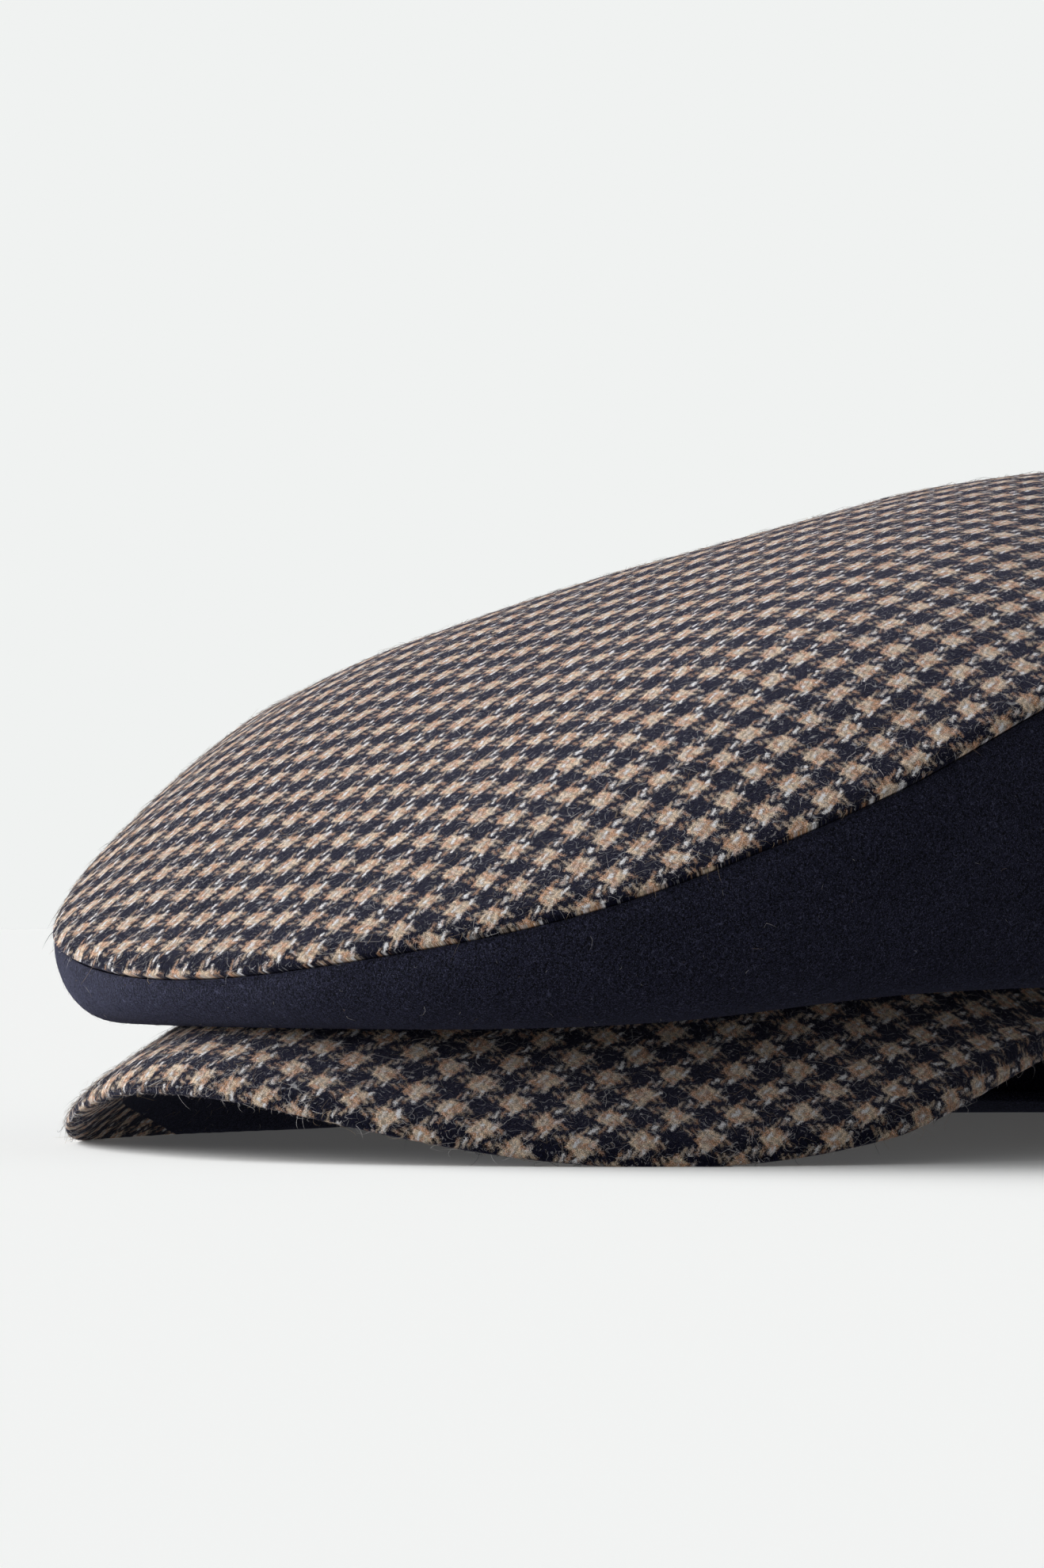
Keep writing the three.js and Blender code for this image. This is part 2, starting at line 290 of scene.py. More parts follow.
def crown_point(turn, share):
    """Outer face of the crown panel: the dome, then the turned edge down to the seam."""
    dome = dome_point(turn, np.minimum(share / EDGE_SHARE, 1))
    shoulder = dome_point(turn, np.ones_like(turn))
    onward = unit(shoulder - dome_point(turn, np.full_like(turn, 1 - SLOPE_STEP)))
    bend = shoulder + EDGE_BEND * onward
    along_edge = np.clip((share - EDGE_SHARE) / (1 - EDGE_SHARE), 0, 1)
    edge = quadratic(shoulder, bend, seam_point(turn), along_edge)
    return np.where((share <= EDGE_SHARE)[..., None], dome, edge)


def surface_normal(surface, turn, share):
    onward = np.minimum(share + SLOPE_STEP, 1)
    back = np.maximum(share - SLOPE_STEP, 0)
    along = surface(turn, onward) - surface(turn, back)
    around = surface(turn + SLOPE_STEP, share) - surface(turn - SLOPE_STEP, share)
    return unit(np.cross(along, around))


def ease(value, span):
    s = np.clip((value - span[0]) / (span[1] - span[0]), 0, 1)
    return s * s * (3 - 2 * s)


def peak_top(side, back):
    """Height of the peak's upper face."""
    run = back - PEAK_FRONT_BACK
    past = np.maximum(run - PEAK_LEVEL_FROM, 0)
    rise = PEAK_SLOPE * run - PEAK_LEVEL_RATE * past * past
    arch = PEAK_ARCH_SLOPE * (np.hypot(side, PEAK_ARCH_ROUND) - PEAK_ARCH_ROUND)
    sag = FAR_SAG * ease(-side, FAR_SAG_SIDE) * ease(back, FAR_SAG_BACK)
    return PEAK_FRONT_HEIGHT + rise - arch - sag


def opening_point(turn):
    """Rim of the head opening: it rides on the peak and lies flat at the back."""
    middle = (OPENING_FRONT_BACK + OPENING_REAR_BACK) / 2
    reach = (OPENING_REAR_BACK - OPENING_FRONT_BACK) / 2
    side = OPENING_HALF_WIDTH * np.sin(turn)
    back = middle - reach * np.cos(turn)
    rim = lip_height(turn) + section_value("rise", turn)
    return place(side, back, np.where(back < OPENING_RISE_BACK, peak_top(side, back) + PIECE_GAP, rim))


def band_point(turn, share):
    """Outer face of the side band: down from the seam to the lip, then in along the hem."""
    seam = seam_point(turn)
    whole = np.ones_like(turn)
    crown_normal = surface_normal(crown_point, turn, whole)
    crown_end = unit(crown_point(turn, whole) - crown_point(turn, whole - SLOPE_STEP))
    top = seam + PIECE_GAP * crown_end - SEAM_STEP * crown_normal
    rim = opening_point(turn)
    inward = rim - seam
    inward[..., 2] = 0
    inward = unit(inward)
    tuck = section_value("tuck", turn)[..., None]
    lip = seam + tuck * inward
    lip[..., 2] = lip_height(turn)
    hem_run = np.linalg.norm((rim - lip)[..., :2], axis=-1)[..., None]
    knee = lip + HEM_LEVEL * hem_run * inward
    below = top + WALL_KEEP * (top[..., 2:] - lip[..., 2:]) * crown_end
    beside = lip - LIP_ROUND * tuck * inward
    wall = cubic(top, below, beside, lip, np.clip(share / WALL_SHARE, 0, 1))
    hem = quadratic(lip, knee, rim, np.clip((share - WALL_SHARE) / (1 - WALL_SHARE), 0, 1))
    point = np.where((share <= WALL_SHARE)[..., None], wall, hem)
    floor = peak_top(point[..., 0], back_of(point)) + PIECE_GAP
    over_peak = back_of(point) < OPENING_RISE_BACK
    point[..., 2] = np.where(over_peak, np.maximum(point[..., 2], floor), point[..., 2])
    return point


def peak_point(position, ring):
    """The peak's skin. position runs from end to end (-1 to 1); ring runs from the joint out
    over the upper face (0 to 0.5), round the rolled edge and back underneath (0.5 to 1)."""
    turn = np.radians(PEAK_END_ANGLE) * position
    joint = opening_point(turn * PEAK_JOINT_SHARE)
    outline_side = PEAK_HALF_WIDTH * squared(np.sin(turn), PEAK_SQUARENESS)
    outline_back = PEAK_FRONT_BACK + PEAK_OUTLINE_DEPTH * (1 - squared(np.cos(turn), PEAK_SQUARENESS))
    past = np.clip((np.abs(position) - PEAK_TAPER_FROM) / (1 - PEAK_TAPER_FROM), 0, 1)
    taper = 1 - (1 - PEAK_TAPER_END) * past * past
    upper = ring <= 0.5
    even = np.where(upper, 2 * ring, 2 * (1 - ring))
    share = 1 - (1 - even) ** 2
    side = joint[..., 0] + (outline_side - joint[..., 0]) * share * taper
    back = back_of(joint) + (outline_back - back_of(joint)) * share * taper
    middle = peak_top(side, back) - PEAK_HALF_THICKNESS
    edge = np.maximum(share - PEAK_EDGE_FROM, 0) / (1 - PEAK_EDGE_FROM)
    half = PEAK_HALF_THICKNESS * np.sqrt(1 - PEAK_EDGE_ROUND * edge * edge)
    height = np.where(upper, np.maximum(middle + half, PEAK_REST_THICKNESS), np.maximum(middle - half, 0))
    return place(side, back, height)


# Cloth grain: where each point of a panel lay on the flat cloth


def lattice_values(values, low, step, x, y):
    """Values read between the points of an even lattice, and at its edge beyond it."""
    fx = np.clip((x - low[0]) / step, 0, values.shape[0] - LATTICE_EDGE)
    fy = np.clip((y - low[1]) / step, 0, values.shape[1] - LATTICE_EDGE)
    i = fx.astype(int)
    j = fy.astype(int)
    s = fx - i
    t = fy - j
    near = values[i, j] * (1 - s) + values[i + 1, j] * s
    far = values[i, j + 1] * (1 - s) + values[i + 1, j + 1] * s
    return near * (1 - t) + far * t


def dome_lattice():
    """Heights of the dome on an even lattice over its plan, and the lattice's side and back values."""
    half = CROWN_HALF_WIDTH + GRAIN_MARGIN
    side = np.arange(-half, half + GRAIN_STEP, GRAIN_STEP)
    back = np.arange(-GRAIN_MARGIN, CAP_LENGTH + GRAIN_MARGIN + GRAIN_STEP, GRAIN_STEP)
    x, forward = np.meshgrid(side, WIDEST_BACK - back, indexing="ij")
    reach = np.where(forward > 0, WIDEST_BACK, CAP_LENGTH - WIDEST_BACK)
    power = CROWN_SQUARENESS / 2
    turn = np.arctan2(
        np.sign(x) * (np.abs(x) / CROWN_HALF_WIDTH) ** power,
        np.sign(forward) * (np.abs(forward) / reach) ** power)
    spoke = seam_point(turn)
    length = np.hypot(spoke[..., 0], back_of(spoke) - WIDEST_BACK) - EDGE_IN
    radius = np.minimum(np.hypot(x, forward) / length, DOME_LIMIT)
    return dome_height(turn, radius), side, back


def thread_tracks(height, side, back, sign):
    """Cross threads of the cloth: straight lines over the dome, from its centre line to one side."""
    low = (side[0], back[0])
    slope_x = np.gradient(height, GRAIN_STEP, axis=0)
    slope_y = np.gradient(height, GRAIN_STEP, axis=1)
    curve_xx = np.gradient(slope_x, GRAIN_STEP, axis=0)
    curve_xy = np.gradient(slope_x, GRAIN_STEP, axis=1)
    curve_yy = np.gradient(slope_y, GRAIN_STEP, axis=1)

    def read(values, x, y):
        return lattice_values(values, low, GRAIN_STEP, x, y)

    def turning(x, y, run_x, run_y):
        a = read(slope_x, x, y)
        b = read(slope_y, x, y)
        bend = read(curve_xx, x, y) * run_x ** 2 + read(curve_yy, x, y) * run_y ** 2
        bend = (bend + 2 * read(curve_xy, x, y) * run_x * run_y) / (1 + a * a + b * b)
        return -a * bend, -b * bend

    x = np.zeros(len(back))
    y = back.copy()
    a = read(slope_x, x, y)
    b = read(slope_y, x, y)
    skew = -a * b / (1 + b * b)
    speed = np.sqrt(1 + skew ** 2 + (a + b * skew) ** 2)
    run_x = sign / speed
    run_y = sign * skew / speed
    track_x, track_y = [x], [y]
    for _ in range(THREAD_STEPS):
        pull_x, pull_y = turning(x, y, run_x, run_y)
        half = THREAD_STEP / 2
        mid_run_x = run_x + pull_x * half
        mid_run_y = run_y + pull_y * half
        pull_x, pull_y = turning(x + run_x * half, y + run_y * half, mid_run_x, mid_run_y)
        x = x + mid_run_x * THREAD_STEP
        y = y + mid_run_y * THREAD_STEP
        run_x = run_x + pull_x * THREAD_STEP
        run_y = run_y + pull_y * THREAD_STEP
        climb = read(slope_x, x, y) * run_x + read(slope_y, x, y) * run_y
        speed = np.sqrt(run_x ** 2 + run_y ** 2 + climb ** 2)
        run_x = run_x / speed
        run_y = run_y / speed
        track_x.append(x)
        track_y.append(y)
    return np.abs(np.array(track_x)), np.array(track_y)


def crown_cloth_map():
    """Flat-cloth position of each lattice point of the dome: its threads across the cap run straight
    over the surface from the centre line, and keep their spacing there."""
    height, side, back = dome_lattice()
    centre = len(side) // 2
    slope = np.gradient(height[centre], GRAIN_STEP)
    along = np.cumsum(np.sqrt(1 + slope * slope)) * GRAIN_STEP
    along = along - np.interp(WIDEST_BACK, back, along)
    across_map = np.zeros_like(height)
    along_map = np.zeros_like(height)
    gone = THREAD_STEP * np.arange(THREAD_STEPS + 1)
    for sign in (-1, 1):
        track_x, track_y = thread_tracks(height, side, back, sign)
        for column in np.flatnonzero(side * sign >= 0):
            out = abs(side[column])
            threads = range(len(back))
            at_back = np.array([np.interp(out, track_x[:, k], track_y[:, k]) for k in threads])
            at_gone = np.array([np.interp(out, track_x[:, k], gone) for k in threads])
            order = np.argsort(at_back)
            across_map[column] = sign * np.interp(back, at_back[order], at_gone[order])
            along_map[column] = np.interp(back, at_back[order], along[order])
    return across_map, along_map, (side[0], back[0])


def crown_grain(turn, share):
    """Position on the flat cloth of points of the crown panel, in millimetres."""
    across_map, along_map, low = crown_cloth_map()

    def on_dome(dome_share):
        point = crown_point(turn, dome_share)
        x, back = point[..., 0], back_of(point)
        across = lattice_values(across_map, low, GRAIN_STEP, x, back)
        along = lattice_values(along_map, low, GRAIN_STEP, x, back)
        return point, np.stack([across, along], -1)

    inner = np.minimum(share, EDGE_SHARE)
    point, grain = on_dome(inner)
    outward = unit(grain - on_dome(inner * GRAIN_LOOK_BACK)[1])
    past = np.linalg.norm(crown_point(turn, share) - point, axis=-1)
    return grain + past[..., None] * outward


def peak_grain(points):
    """Position on the flat cloth of the peak's rings of points, in millimetres. The cloth is unrolled
    from the arch of the upper face, and goes on round the rolled edge."""
    cos_tilt = 1 / math.hypot(1, PEAK_SLOPE)
    sin_tilt = PEAK_SLOPE * cos_tilt
    side = np.arange(0, PEAK_HALF_WIDTH + PEAK_ARCH_STEP, PEAK_ARCH_STEP)
    slope = cos_tilt * PEAK_ARCH_SLOPE * side / np.hypot(side, PEAK_ARCH_ROUND)
    across = np.concatenate([[0], np.cumsum(np.sqrt(1 + slope[1:] ** 2)) * PEAK_ARCH_STEP])
    x = points[..., 0]
    drop = PEAK_ARCH_SLOPE * (np.hypot(x, PEAK_ARCH_ROUND) - PEAK_ARCH_ROUND)
    u = np.sign(x) * np.interp(np.abs(x), side, across)
    v = (back_of(points) - PEAK_FRONT_BACK) / cos_tilt - sin_tilt * drop
    grain = np.stack([u, v], -1)
    roll = int(PEAK_CROSS_ROWS * PEAK_ROLL_FROM)
    rim = unit(np.gradient(points[roll], axis=0))
    grain_rim = unit(np.gradient(grain[roll], axis=0))
    onward = grain[roll] - grain[roll - PEAK_ROLL_ROWS]
    grain_out = unit(onward - (onward * grain_rim).sum(-1, keepdims=True) * grain_rim)
    for row in range(roll + 1, len(points)):
        move = points[row] - points[row - 1]
        slide = (move * rim).sum(-1, keepdims=True)
        out = np.linalg.norm(move - slide * rim, axis=-1, keepdims=True)
        grain[row] = grain[row - 1] + grain_rim * slide + grain_out * out
    return grain


# Building meshes


def deselect():
    if bpy.context.object and bpy.context.object.mode != "OBJECT":
        bpy.ops.object.mode_set(mode="OBJECT")
    bpy.ops.object.select_all(action="DESELECT")


def cloth_grid(name, columns, rows):
    """A flat grid primitive, with the column (0 to 1) and row number of each vertex."""
    deselect()
    bpy.ops.mesh.primitive_grid_add(x_subdivisions=columns, y_subdivisions=rows, size=1)
    cloth = bpy.context.object
    cloth.name = name
    cloth.data.name = name
    flat = np.zeros(len(cloth.data.vertices) * 3)
    cloth.data.vertices.foreach_get("co", flat)
    flat = flat.reshape(rows + 1, columns + 1, 3)
    across = np.round((flat[..., 0] + 0.5) * columns) / columns
    row = np.round((flat[..., 1] + 0.5) * rows)
    return cloth, across, row


def move_points(cloth, points):
    cloth.data.vertices.foreach_set("co", (points * MM).astype(np.float32).ravel())
    cloth.data.update()


def lay_grain(cloth, grain):
    """Stores the cloth position as a UV map, counted in repeats of the weave."""
    while cloth.data.uv_layers:
        cloth.data.uv_layers.remove(cloth.data.uv_layers[0])
    layer = cloth.data.uv_layers.new(name="grain")
    corner = np.zeros(len(cloth.data.loops), int)
    cloth.data.loops.foreach_get("vertex_index", corner)
    layer.uv.foreach_set("vector", grain.reshape(-1, 2)[corner].astype(np.float32).ravel())


def sew_up(fill_ends):
    """Merges the edges of the active piece that meet, and turns all faces outwards."""
    bpy.ops.object.mode_set(mode="EDIT")
    bpy.ops.mesh.select_all(action="SELECT")
    bpy.ops.mesh.remove_doubles(threshold=WELD_DISTANCE)
    if fill_ends:
        bpy.ops.mesh.select_all(action="SELECT")
        bpy.ops.mesh.fill_holes(sides=0)
    bpy.ops.mesh.select_all(action="SELECT")
    bpy.ops.mesh.normals_make_consistent(inside=False)
    bpy.ops.object.mode_set(mode="OBJECT")


def add_thickness(cloth, thickness):
    wall = cloth.modifiers.new("Cloth thickness", "SOLIDIFY")
    wall.thickness = thickness
    wall.offset = -1
    wall.use_even_offset = True
    bpy.ops.object.modifier_apply(modifier=wall.name)


def smooth_faces(piece):
    deselect()
    piece.select_set(True)
    bpy.context.view_layer.objects.active = piece
    bpy.ops.object.shade_smooth()


def finish_cloth(cloth, points, grain=None, thickness=0.0):
    """Gives a flat grid its shape, its place on the flat cloth and its thickness. A grid that is rolled
    up into a closed shape needs no thickness, only its ends filled."""
    move_points(cloth, points)
    if grain is not None:
        lay_grain(cloth, grain)
    sew_up(fill_ends=not thickness)
    if thickness:
        add_thickness(cloth, thickness)
    smooth_faces(cloth)


def ripples(points, size, seed):
    """Slight seeded unevenness of soft cloth, as a height at each point."""
    rng = np.random.default_rng(seed)
    height = np.zeros(points.shape[:-1])
    for _ in range(RIPPLE_WAVES):
        direction = unit(rng.normal(size=3))
        length = rng.uniform(RIPPLE_SHORTEST, RIPPLE_LONGEST)
        height += np.sin(2 * np.pi * (points @ direction) / length + rng.uniform(0, 2 * np.pi))
    return size * height / math.sqrt(RIPPLE_WAVES / 2)


def crown_shares(row):
    """Share along the crown section, with rows closer together in the turned edge."""
    dome = EDGE_SHARE * row / CROWN_DOME_ROWS
    edge = EDGE_SHARE + (1 - EDGE_SHARE) * (row - CROWN_DOME_ROWS) / CROWN_EDGE_ROWS
    return np.where(row <= CROWN_DOME_ROWS, dome, edge)


def repeats(settings):
    return np.array([settings.weave_width, settings.weave_length]) / MM


def make_crown(settings):
    cloth, across, row = cloth_grid("crown_top_cloth", CROWN_COLUMNS, CROWN_DOME_ROWS + CROWN_EDGE_ROWS)
    turn = -2 * np.pi * across
    share = crown_shares(row)
    points = crown_point(turn, share)
    loose = np.clip((1 - share) / (1 - EDGE_SHARE), CROWN_EDGE_RIPPLE, 1)
    normal = surface_normal(crown_point, turn, np.maximum(share, POLE_SHARE))
    points = points + (loose * ripples(points, CROWN_RIPPLE, CROWN_RIPPLE_SEED))[..., None] * normal
    grain = crown_grain(turn, share) / repeats(settings)
    finish_cloth(cloth, points, grain, settings.crown_thickness)
    return cloth, points, grain


def flange_point(turn, row):
    """Seam allowance of the band: behind the crown's turned edge, then just below its end."""
    share = np.where(row < 1, FLANGE_SHARE, 1.0)
    behind = crown_point(turn, share) - FLANGE_DEPTH * surface_normal(crown_point, turn, share)
    end = unit(crown_point(turn, share) - crown_point(turn, share - SLOPE_STEP))
    return behind + np.where(row < 1, 0, PIECE_GAP)[..., None] * end


def make_band(settings):
    cloth, across, row = cloth_grid("side_band_cloth", BAND_COLUMNS, FLANGE_ROWS + BAND_ROWS)
    turn = -2 * np.pi * across
    share = np.maximum(row - FLANGE_ROWS, 0) / BAND_ROWS
    points = band_point(turn, share)
    from_back_seam = np.abs(turn + np.pi) * OPENING_HALF_WIDTH
    groove = settings.back_seam_depth / MM * np.exp(-(from_back_seam / BACK_SEAM_WIDTH) ** 2)
    below_seam = np.clip(share / BAND_RIPPLE_FULL, 0, 1)
    loose = below_seam * np.clip((BAND_RIPPLE_END - share) / BAND_RIPPLE_FADE, 0, 1)
    swell = loose * ripples(points, BAND_RIPPLE, BAND_RIPPLE_SEED) - groove
    points = points + swell[..., None] * surface_normal(band_point, turn, share)
    points = np.where((row < FLANGE_ROWS)[..., None], flange_point(turn, row), points)
    finish_cloth(cloth, points, thickness=settings.band_thickness)
    return cloth, points


def make_peak(settings):
    rows = 2 * PEAK_CROSS_ROWS + 2
    cloth, across, row = cloth_grid("peak_cloth", PEAK_COLUMNS, rows)
    under = 0.5 + (row - PEAK_CROSS_ROWS - 1) / PEAK_CROSS_ROWS / 2 + JUST_PAST
    ring = np.where(row <= PEAK_CROSS_ROWS, row / PEAK_CROSS_ROWS / 2, np.minimum(under, 1))
    ring = np.where(row == rows, 0, ring)
    points = peak_point(2 * across - 1, ring)
    grain = peak_grain(points) / repeats(settings)
    # Underside faces that get the dark navy facing, partly painted shade under the peak
    facing = cloth.data.attributes.new("facing", "INT", "FACE")
    facing.data.foreach_set("value", (ring[:-1, :-1] > SHADE_FACING_FROM).astype(np.int32).ravel())
    finish_cloth(cloth, points, grain)
    return cloth, points, grain


# Wool nap: hair-thin strands, made point by point because no tool of the modeller draws them

# Kinds of strand. points: points along its path. shortest, longest: length in millimetres.
# low, high: degrees that it stands up from the cloth. curl: how much it winds.
STRANDS = {
    "fuzz": {"points": 3, "shortest": 0.5, "longest": 1.7, "low": 15, "high": 65, "curl": 0.15},
    "hair": {"points": 4, "shortest": 1.2, "longest": 4.2, "low": 3, "high": 22, "curl": 0.28},
    "wisp": {"points": 6, "shortest": 1.0, "longest": 3.6, "low": 10, "high": 50, "curl": 0.6},
    "lint": {"points": 4, "shortest": 0.8, "longest": 2.6, "low": 2, "high": 12, "curl": 0.25},
    "down": {"points": 3, "shortest": 0.3, "longest": 1.0, "low": 10, "high": 50, "curl": 0.2},
}

# Nap of each piece, one row for each stretch of cloth. kind: row of STRANDS. count: strands.
# start, stop: first and last row of the piece's grid, as a share. sag: how much the strands hang.
CROWN_NAP = [
    {"kind": "fuzz", "count": 6000, "start": 0.0, "stop": 1.0, "sag": 0.0},
    {"kind": "hair", "count": 7800, "start": 0.0, "stop": 1.0, "sag": 0.15},
]
CROWN_EDGE_NAP = [
    {"kind": "fuzz", "count": 5600, "start": 0.8, "stop": 1.0, "sag": 0.5},
    {"kind": "hair", "count": 3000, "start": 0.7, "stop": 1.0, "sag": 0.4},
]
BAND_NAP = [
    {"kind": "down", "count": 8000, "start": 0.06, "stop": 0.66, "sag": 0.1},
    {"kind": "lint", "count": 5200, "start": 0.06, "stop": 0.66, "sag": 0.2},
    {"kind": "lint", "count": 900, "start": 0.66, "stop": 0.98, "sag": 0.0},
]
PEAK_NAP = [
    {"kind": "fuzz", "count": 3600, "start": 0.06, "stop": 0.4, "sag": 0.1},
    {"kind": "hair", "count": 4800, "start": 0.06, "stop": 0.42, "sag": 0.2},
    {"kind": "down", "count": 3600, "start": 0.4, "stop": 0.6, "sag": 0.1},
    {"kind": "wisp", "count": 800, "start": 0.38, "stop": 0.56, "sag": 0.4},
    {"kind": "lint", "count": 1000, "start": 0.6, "stop": 0.95, "sag": 0.0},
]

# Start of each piece's random draws
NAP_SEEDS = {"crown_top_nap": 11, "crown_edge_nap": 12, "side_band_nap": 13, "peak_nap": 14}

# How strands lie: pull of the sag, turns that they wind, how far they bend over, how deep they root and
# how high they keep above the table
SAG_PULL = np.array([0, 0, 2.0])
STRAND_TURNS = (0.7, 1.6)
STRAND_BEND = 0.55
ROOT_DEPTH = 0.04
TABLE_CLEARANCE = 0.06

# Width of a strand's last ring against its first, and a direction that few strands point in
STRAND_TAPER = 0.5
RARE_DIRECTION = (0.31, 0.52, 0.79)

# Stray strands among those in a wool's own colours. pale_below, tan_above: draws from 0 to 1 that give a
# pale or a tan one. darkest: how dark the darkest strand is.
HOUNDSTOOTH_STRAYS = {"pale_below": 0.32, "tan_above": 0.9, "darkest": 0.65}
NAVY_STRAYS = {"pale_below": 0.05, "tan_above": 0.98, "darkest": 0.4}
LIGHTEST_STRAND = 1.2


def plant_roots(rng, points, grain, stretch):
    """Random roots spread evenly over a stretch of a cloth grid: place, outward normal and grain."""
    across = points[:-1, 1:] - points[:-1, :-1]
    along = points[1:, :-1] - points[:-1, :-1]
    facing = np.cross(across, along)
    centre = points.reshape(-1, 3).mean(0)
    facing = facing * np.sign((facing * (points[:-1, :-1] - centre)).sum())
    area = np.linalg.norm(facing, axis=-1)
    share = np.arange(len(area))[:, None] / len(area)
    area = area * ((share >= stretch["start"]) & (share < stretch["stop"]))
    cell = rng.choice(area.size, stretch["count"], p=(area / area.sum()).ravel())
    row, column = np.divmod(cell, area.shape[1])
    s, t = rng.uniform(size=(2, len(cell), 1))

    def mixed(values):
        near = values[row, column] * (1 - s) + values[row, column + 1] * s
        far = values[row + 1, column] * (1 - s) + values[row + 1, column + 1] * s
        return near * (1 - t) + far * t

    return mixed(points), unit(facing[row, column]), mixed(grain)


def strand_paths(rng, roots, normals, stretch):
    """Paths of strands that leave the cloth at a slant, bend over it and curl."""
    kind = STRANDS[stretch["kind"]]
    count = len(roots)
    lay = rng.normal(size=(count, 3)) - stretch["sag"] * SAG_PULL
    lay = unit(lay - (lay * normals).sum(-1, keepdims=True) * normals)
    aside = np.cross(normals, lay)
    spread = kind["longest"] - kind["shortest"]
    length = kind["shortest"] + spread * rng.uniform(size=(count, 1, 1)) ** 2
    lift = np.radians(rng.uniform(kind["low"], kind["high"], (count, 1, 1)))
    swing = kind["curl"] * rng.normal(size=(count, 1, 1))
    turns = rng.uniform(*STRAND_TURNS, (count, 1, 1))
    s = np.linspace(0, 1, kind["points"])[None, :, None]
    rise = np.sin(lift) * (s - STRAND_BEND * s * s)
    side = swing * np.sin(np.pi * turns * s)
    path = np.cos(lift) * s * lay[:, None] + rise * normals[:, None] + side * aside[:, None]
    path = roots[:, None] - ROOT_DEPTH * normals[:, None] + length * path
    path[..., 2] = np.maximum(path[..., 2], TABLE_CLEARANCE)
    return path


def strand_mesh(paths, width):
    """Points and faces of three-sided tubes that taper along their paths to a point."""
    count, rings = paths.shape[0], paths.shape[1] - 1
    heading = unit(paths[:, -1] - paths[:, 0])
    side = unit(np.cross(heading, RARE_DIRECTION))
    other = np.cross(heading, side)
    angle = 2 * np.pi * np.arange(3)[None, :, None] / 3
    spoke = np.cos(angle) * side[:, None] + np.sin(angle) * other[:, None]
    radius = width / 2 * np.linspace(1, STRAND_TAPER, rings)[None, :, None, None]
    body = paths[:, :-1, None] + radius * spoke[:, None]
    points = np.concatenate([body.reshape(count, 3 * rings, 3), paths[:, -1:]], 1)
    faces = [(0, 2, 1)]
    for ring in range(rings):
        for k in range(3):
            a = 3 * ring + k
            b = 3 * ring + (k + 1) % 3
            if ring == rings - 1:
                faces.append((a, b, 3 * rings))
            else:
                faces += [(a, b, b + 3), (a, b + 3, a + 3)]
    first = points.shape[1] * np.arange(count)[:, None, None]
    return points.reshape(-1, 3), (first + np.array(faces)[None]).reshape(-1, 3)


def yarn_on_top(grain):
    """Whether a light yarn, and whether a cream one, lies on top at a place counted in repeats."""
    i, j = np.floor(grain * YARNS_PER_REPEAT).astype(int).T
    half = YARNS_PER_REPEAT // 2
    long_on_top = (j - i) % TWILL_YARNS < TWILL_FLOAT
    light = np.where(long_on_top, i % YARNS_PER_REPEAT < half, j % YARNS_PER_REPEAT < half)
    return light, light & long_on_top & (i % 2 == 1)


def with_strays(rng, colour, strays, settings):
    """Strand colours with pale and tan strays among them, each a little lighter or darker."""
    stray = rng.uniform(size=(len(colour), 1))
    colour = np.where(stray < strays["pale_below"], settings.pale_hair, colour)
    colour = np.where(stray > strays["tan_above"], settings.tan_hair, colour)
    return colour * rng.uniform(strays["darkest"], LIGHTEST_STRAND, (len(colour), 1))


def houndstooth_strand_colours(rng, grain, settings):
    light, cream = yarn_on_top(grain)
    colour = np.where(light[:, None], settings.tan_hair, settings.navy_hair)
    colour = np.where(cream[:, None], settings.pale_hair, colour)
    return with_strays(rng, colour, HOUNDSTOOTH_STRAYS, settings)


def navy_strand_colours(rng, grain, settings):
    return with_strays(rng, np.tile(settings.band_hair, (len(grain), 1)), NAVY_STRAYS, settings)


def make_nap(name, points, grain, nap, colours, settings):
    """One mesh of all the strands of a piece, coloured by the yarns that they come from."""
    rng = np.random.default_rng(NAP_SEEDS[name])
    all_points, all_faces, all_colours = [], [], []
    total = 0
    for stretch in nap:
        roots, normals, at = plant_roots(rng, points, grain, stretch)
        paths = strand_paths(rng, roots, normals, stretch)
        strand, faces = strand_mesh(paths, settings.hair_width / MM)
        colour = colours(rng, at, settings)
        all_points.append(strand)
        all_faces.append(faces + total)
        all_colours.append(np.repeat(colour, len(strand) // len(colour), axis=0))
        total += len(strand)
    mesh = bpy.data.meshes.new(name)
    mesh.from_pydata((np.concatenate(all_points) * MM).tolist(), [], np.concatenate(all_faces).tolist())
    shade = np.ones((total, 4), np.float32)
    shade[:, :3] = np.clip(np.concatenate(all_colours), 0, 1)
    layer = mesh.color_attributes.new("strand_colour", "FLOAT_COLOR", "POINT")
    layer.data.foreach_set("color", shade.ravel())
    piece = bpy.data.objects.new(name, mesh)
    bpy.context.collection.objects.link(piece)
    smooth_faces(piece)
    return piece


# Materials


def linear(red, green, blue):
    """Scene-linear colour of a colour given as it shows on a screen, from 0 to 255."""
    shown = [value / 255 for value in (red, green, blue)]
    return tuple(v / 12.92 if v <= 0.04045 else ((v + 0.055) / 1.055) ** 2.4 for v in shown)


def set_inputs(node, values):
    for label, value in values.items():
        node.inputs[label].default_value = value


def feed(tree, socket, value):
    if isinstance(value, bpy.types.NodeSocket):
        tree.links.new(value, socket)
    else:
        socket.default_value = value


def calc(tree, operation, first, second=0.0, third=0.0, clamp=False):
    node = tree.nodes.new("ShaderNodeMath")
    node.operation = operation
    node.use_clamp = clamp
    for socket, value in zip(node.inputs, (first, second, third)):
        feed(tree, socket, value)
    return node.outputs[0]


def vector_calc(tree, operation, first, second=(0, 0, 0), scale=1.0):
    node = tree.nodes.new("ShaderNodeVectorMath")
    node.operation = operation
    feed(tree, node.inputs[0], first)
    feed(tree, node.inputs[1], second)
    feed(tree, node.inputs[3], scale)
    return node.outputs["Vector"]


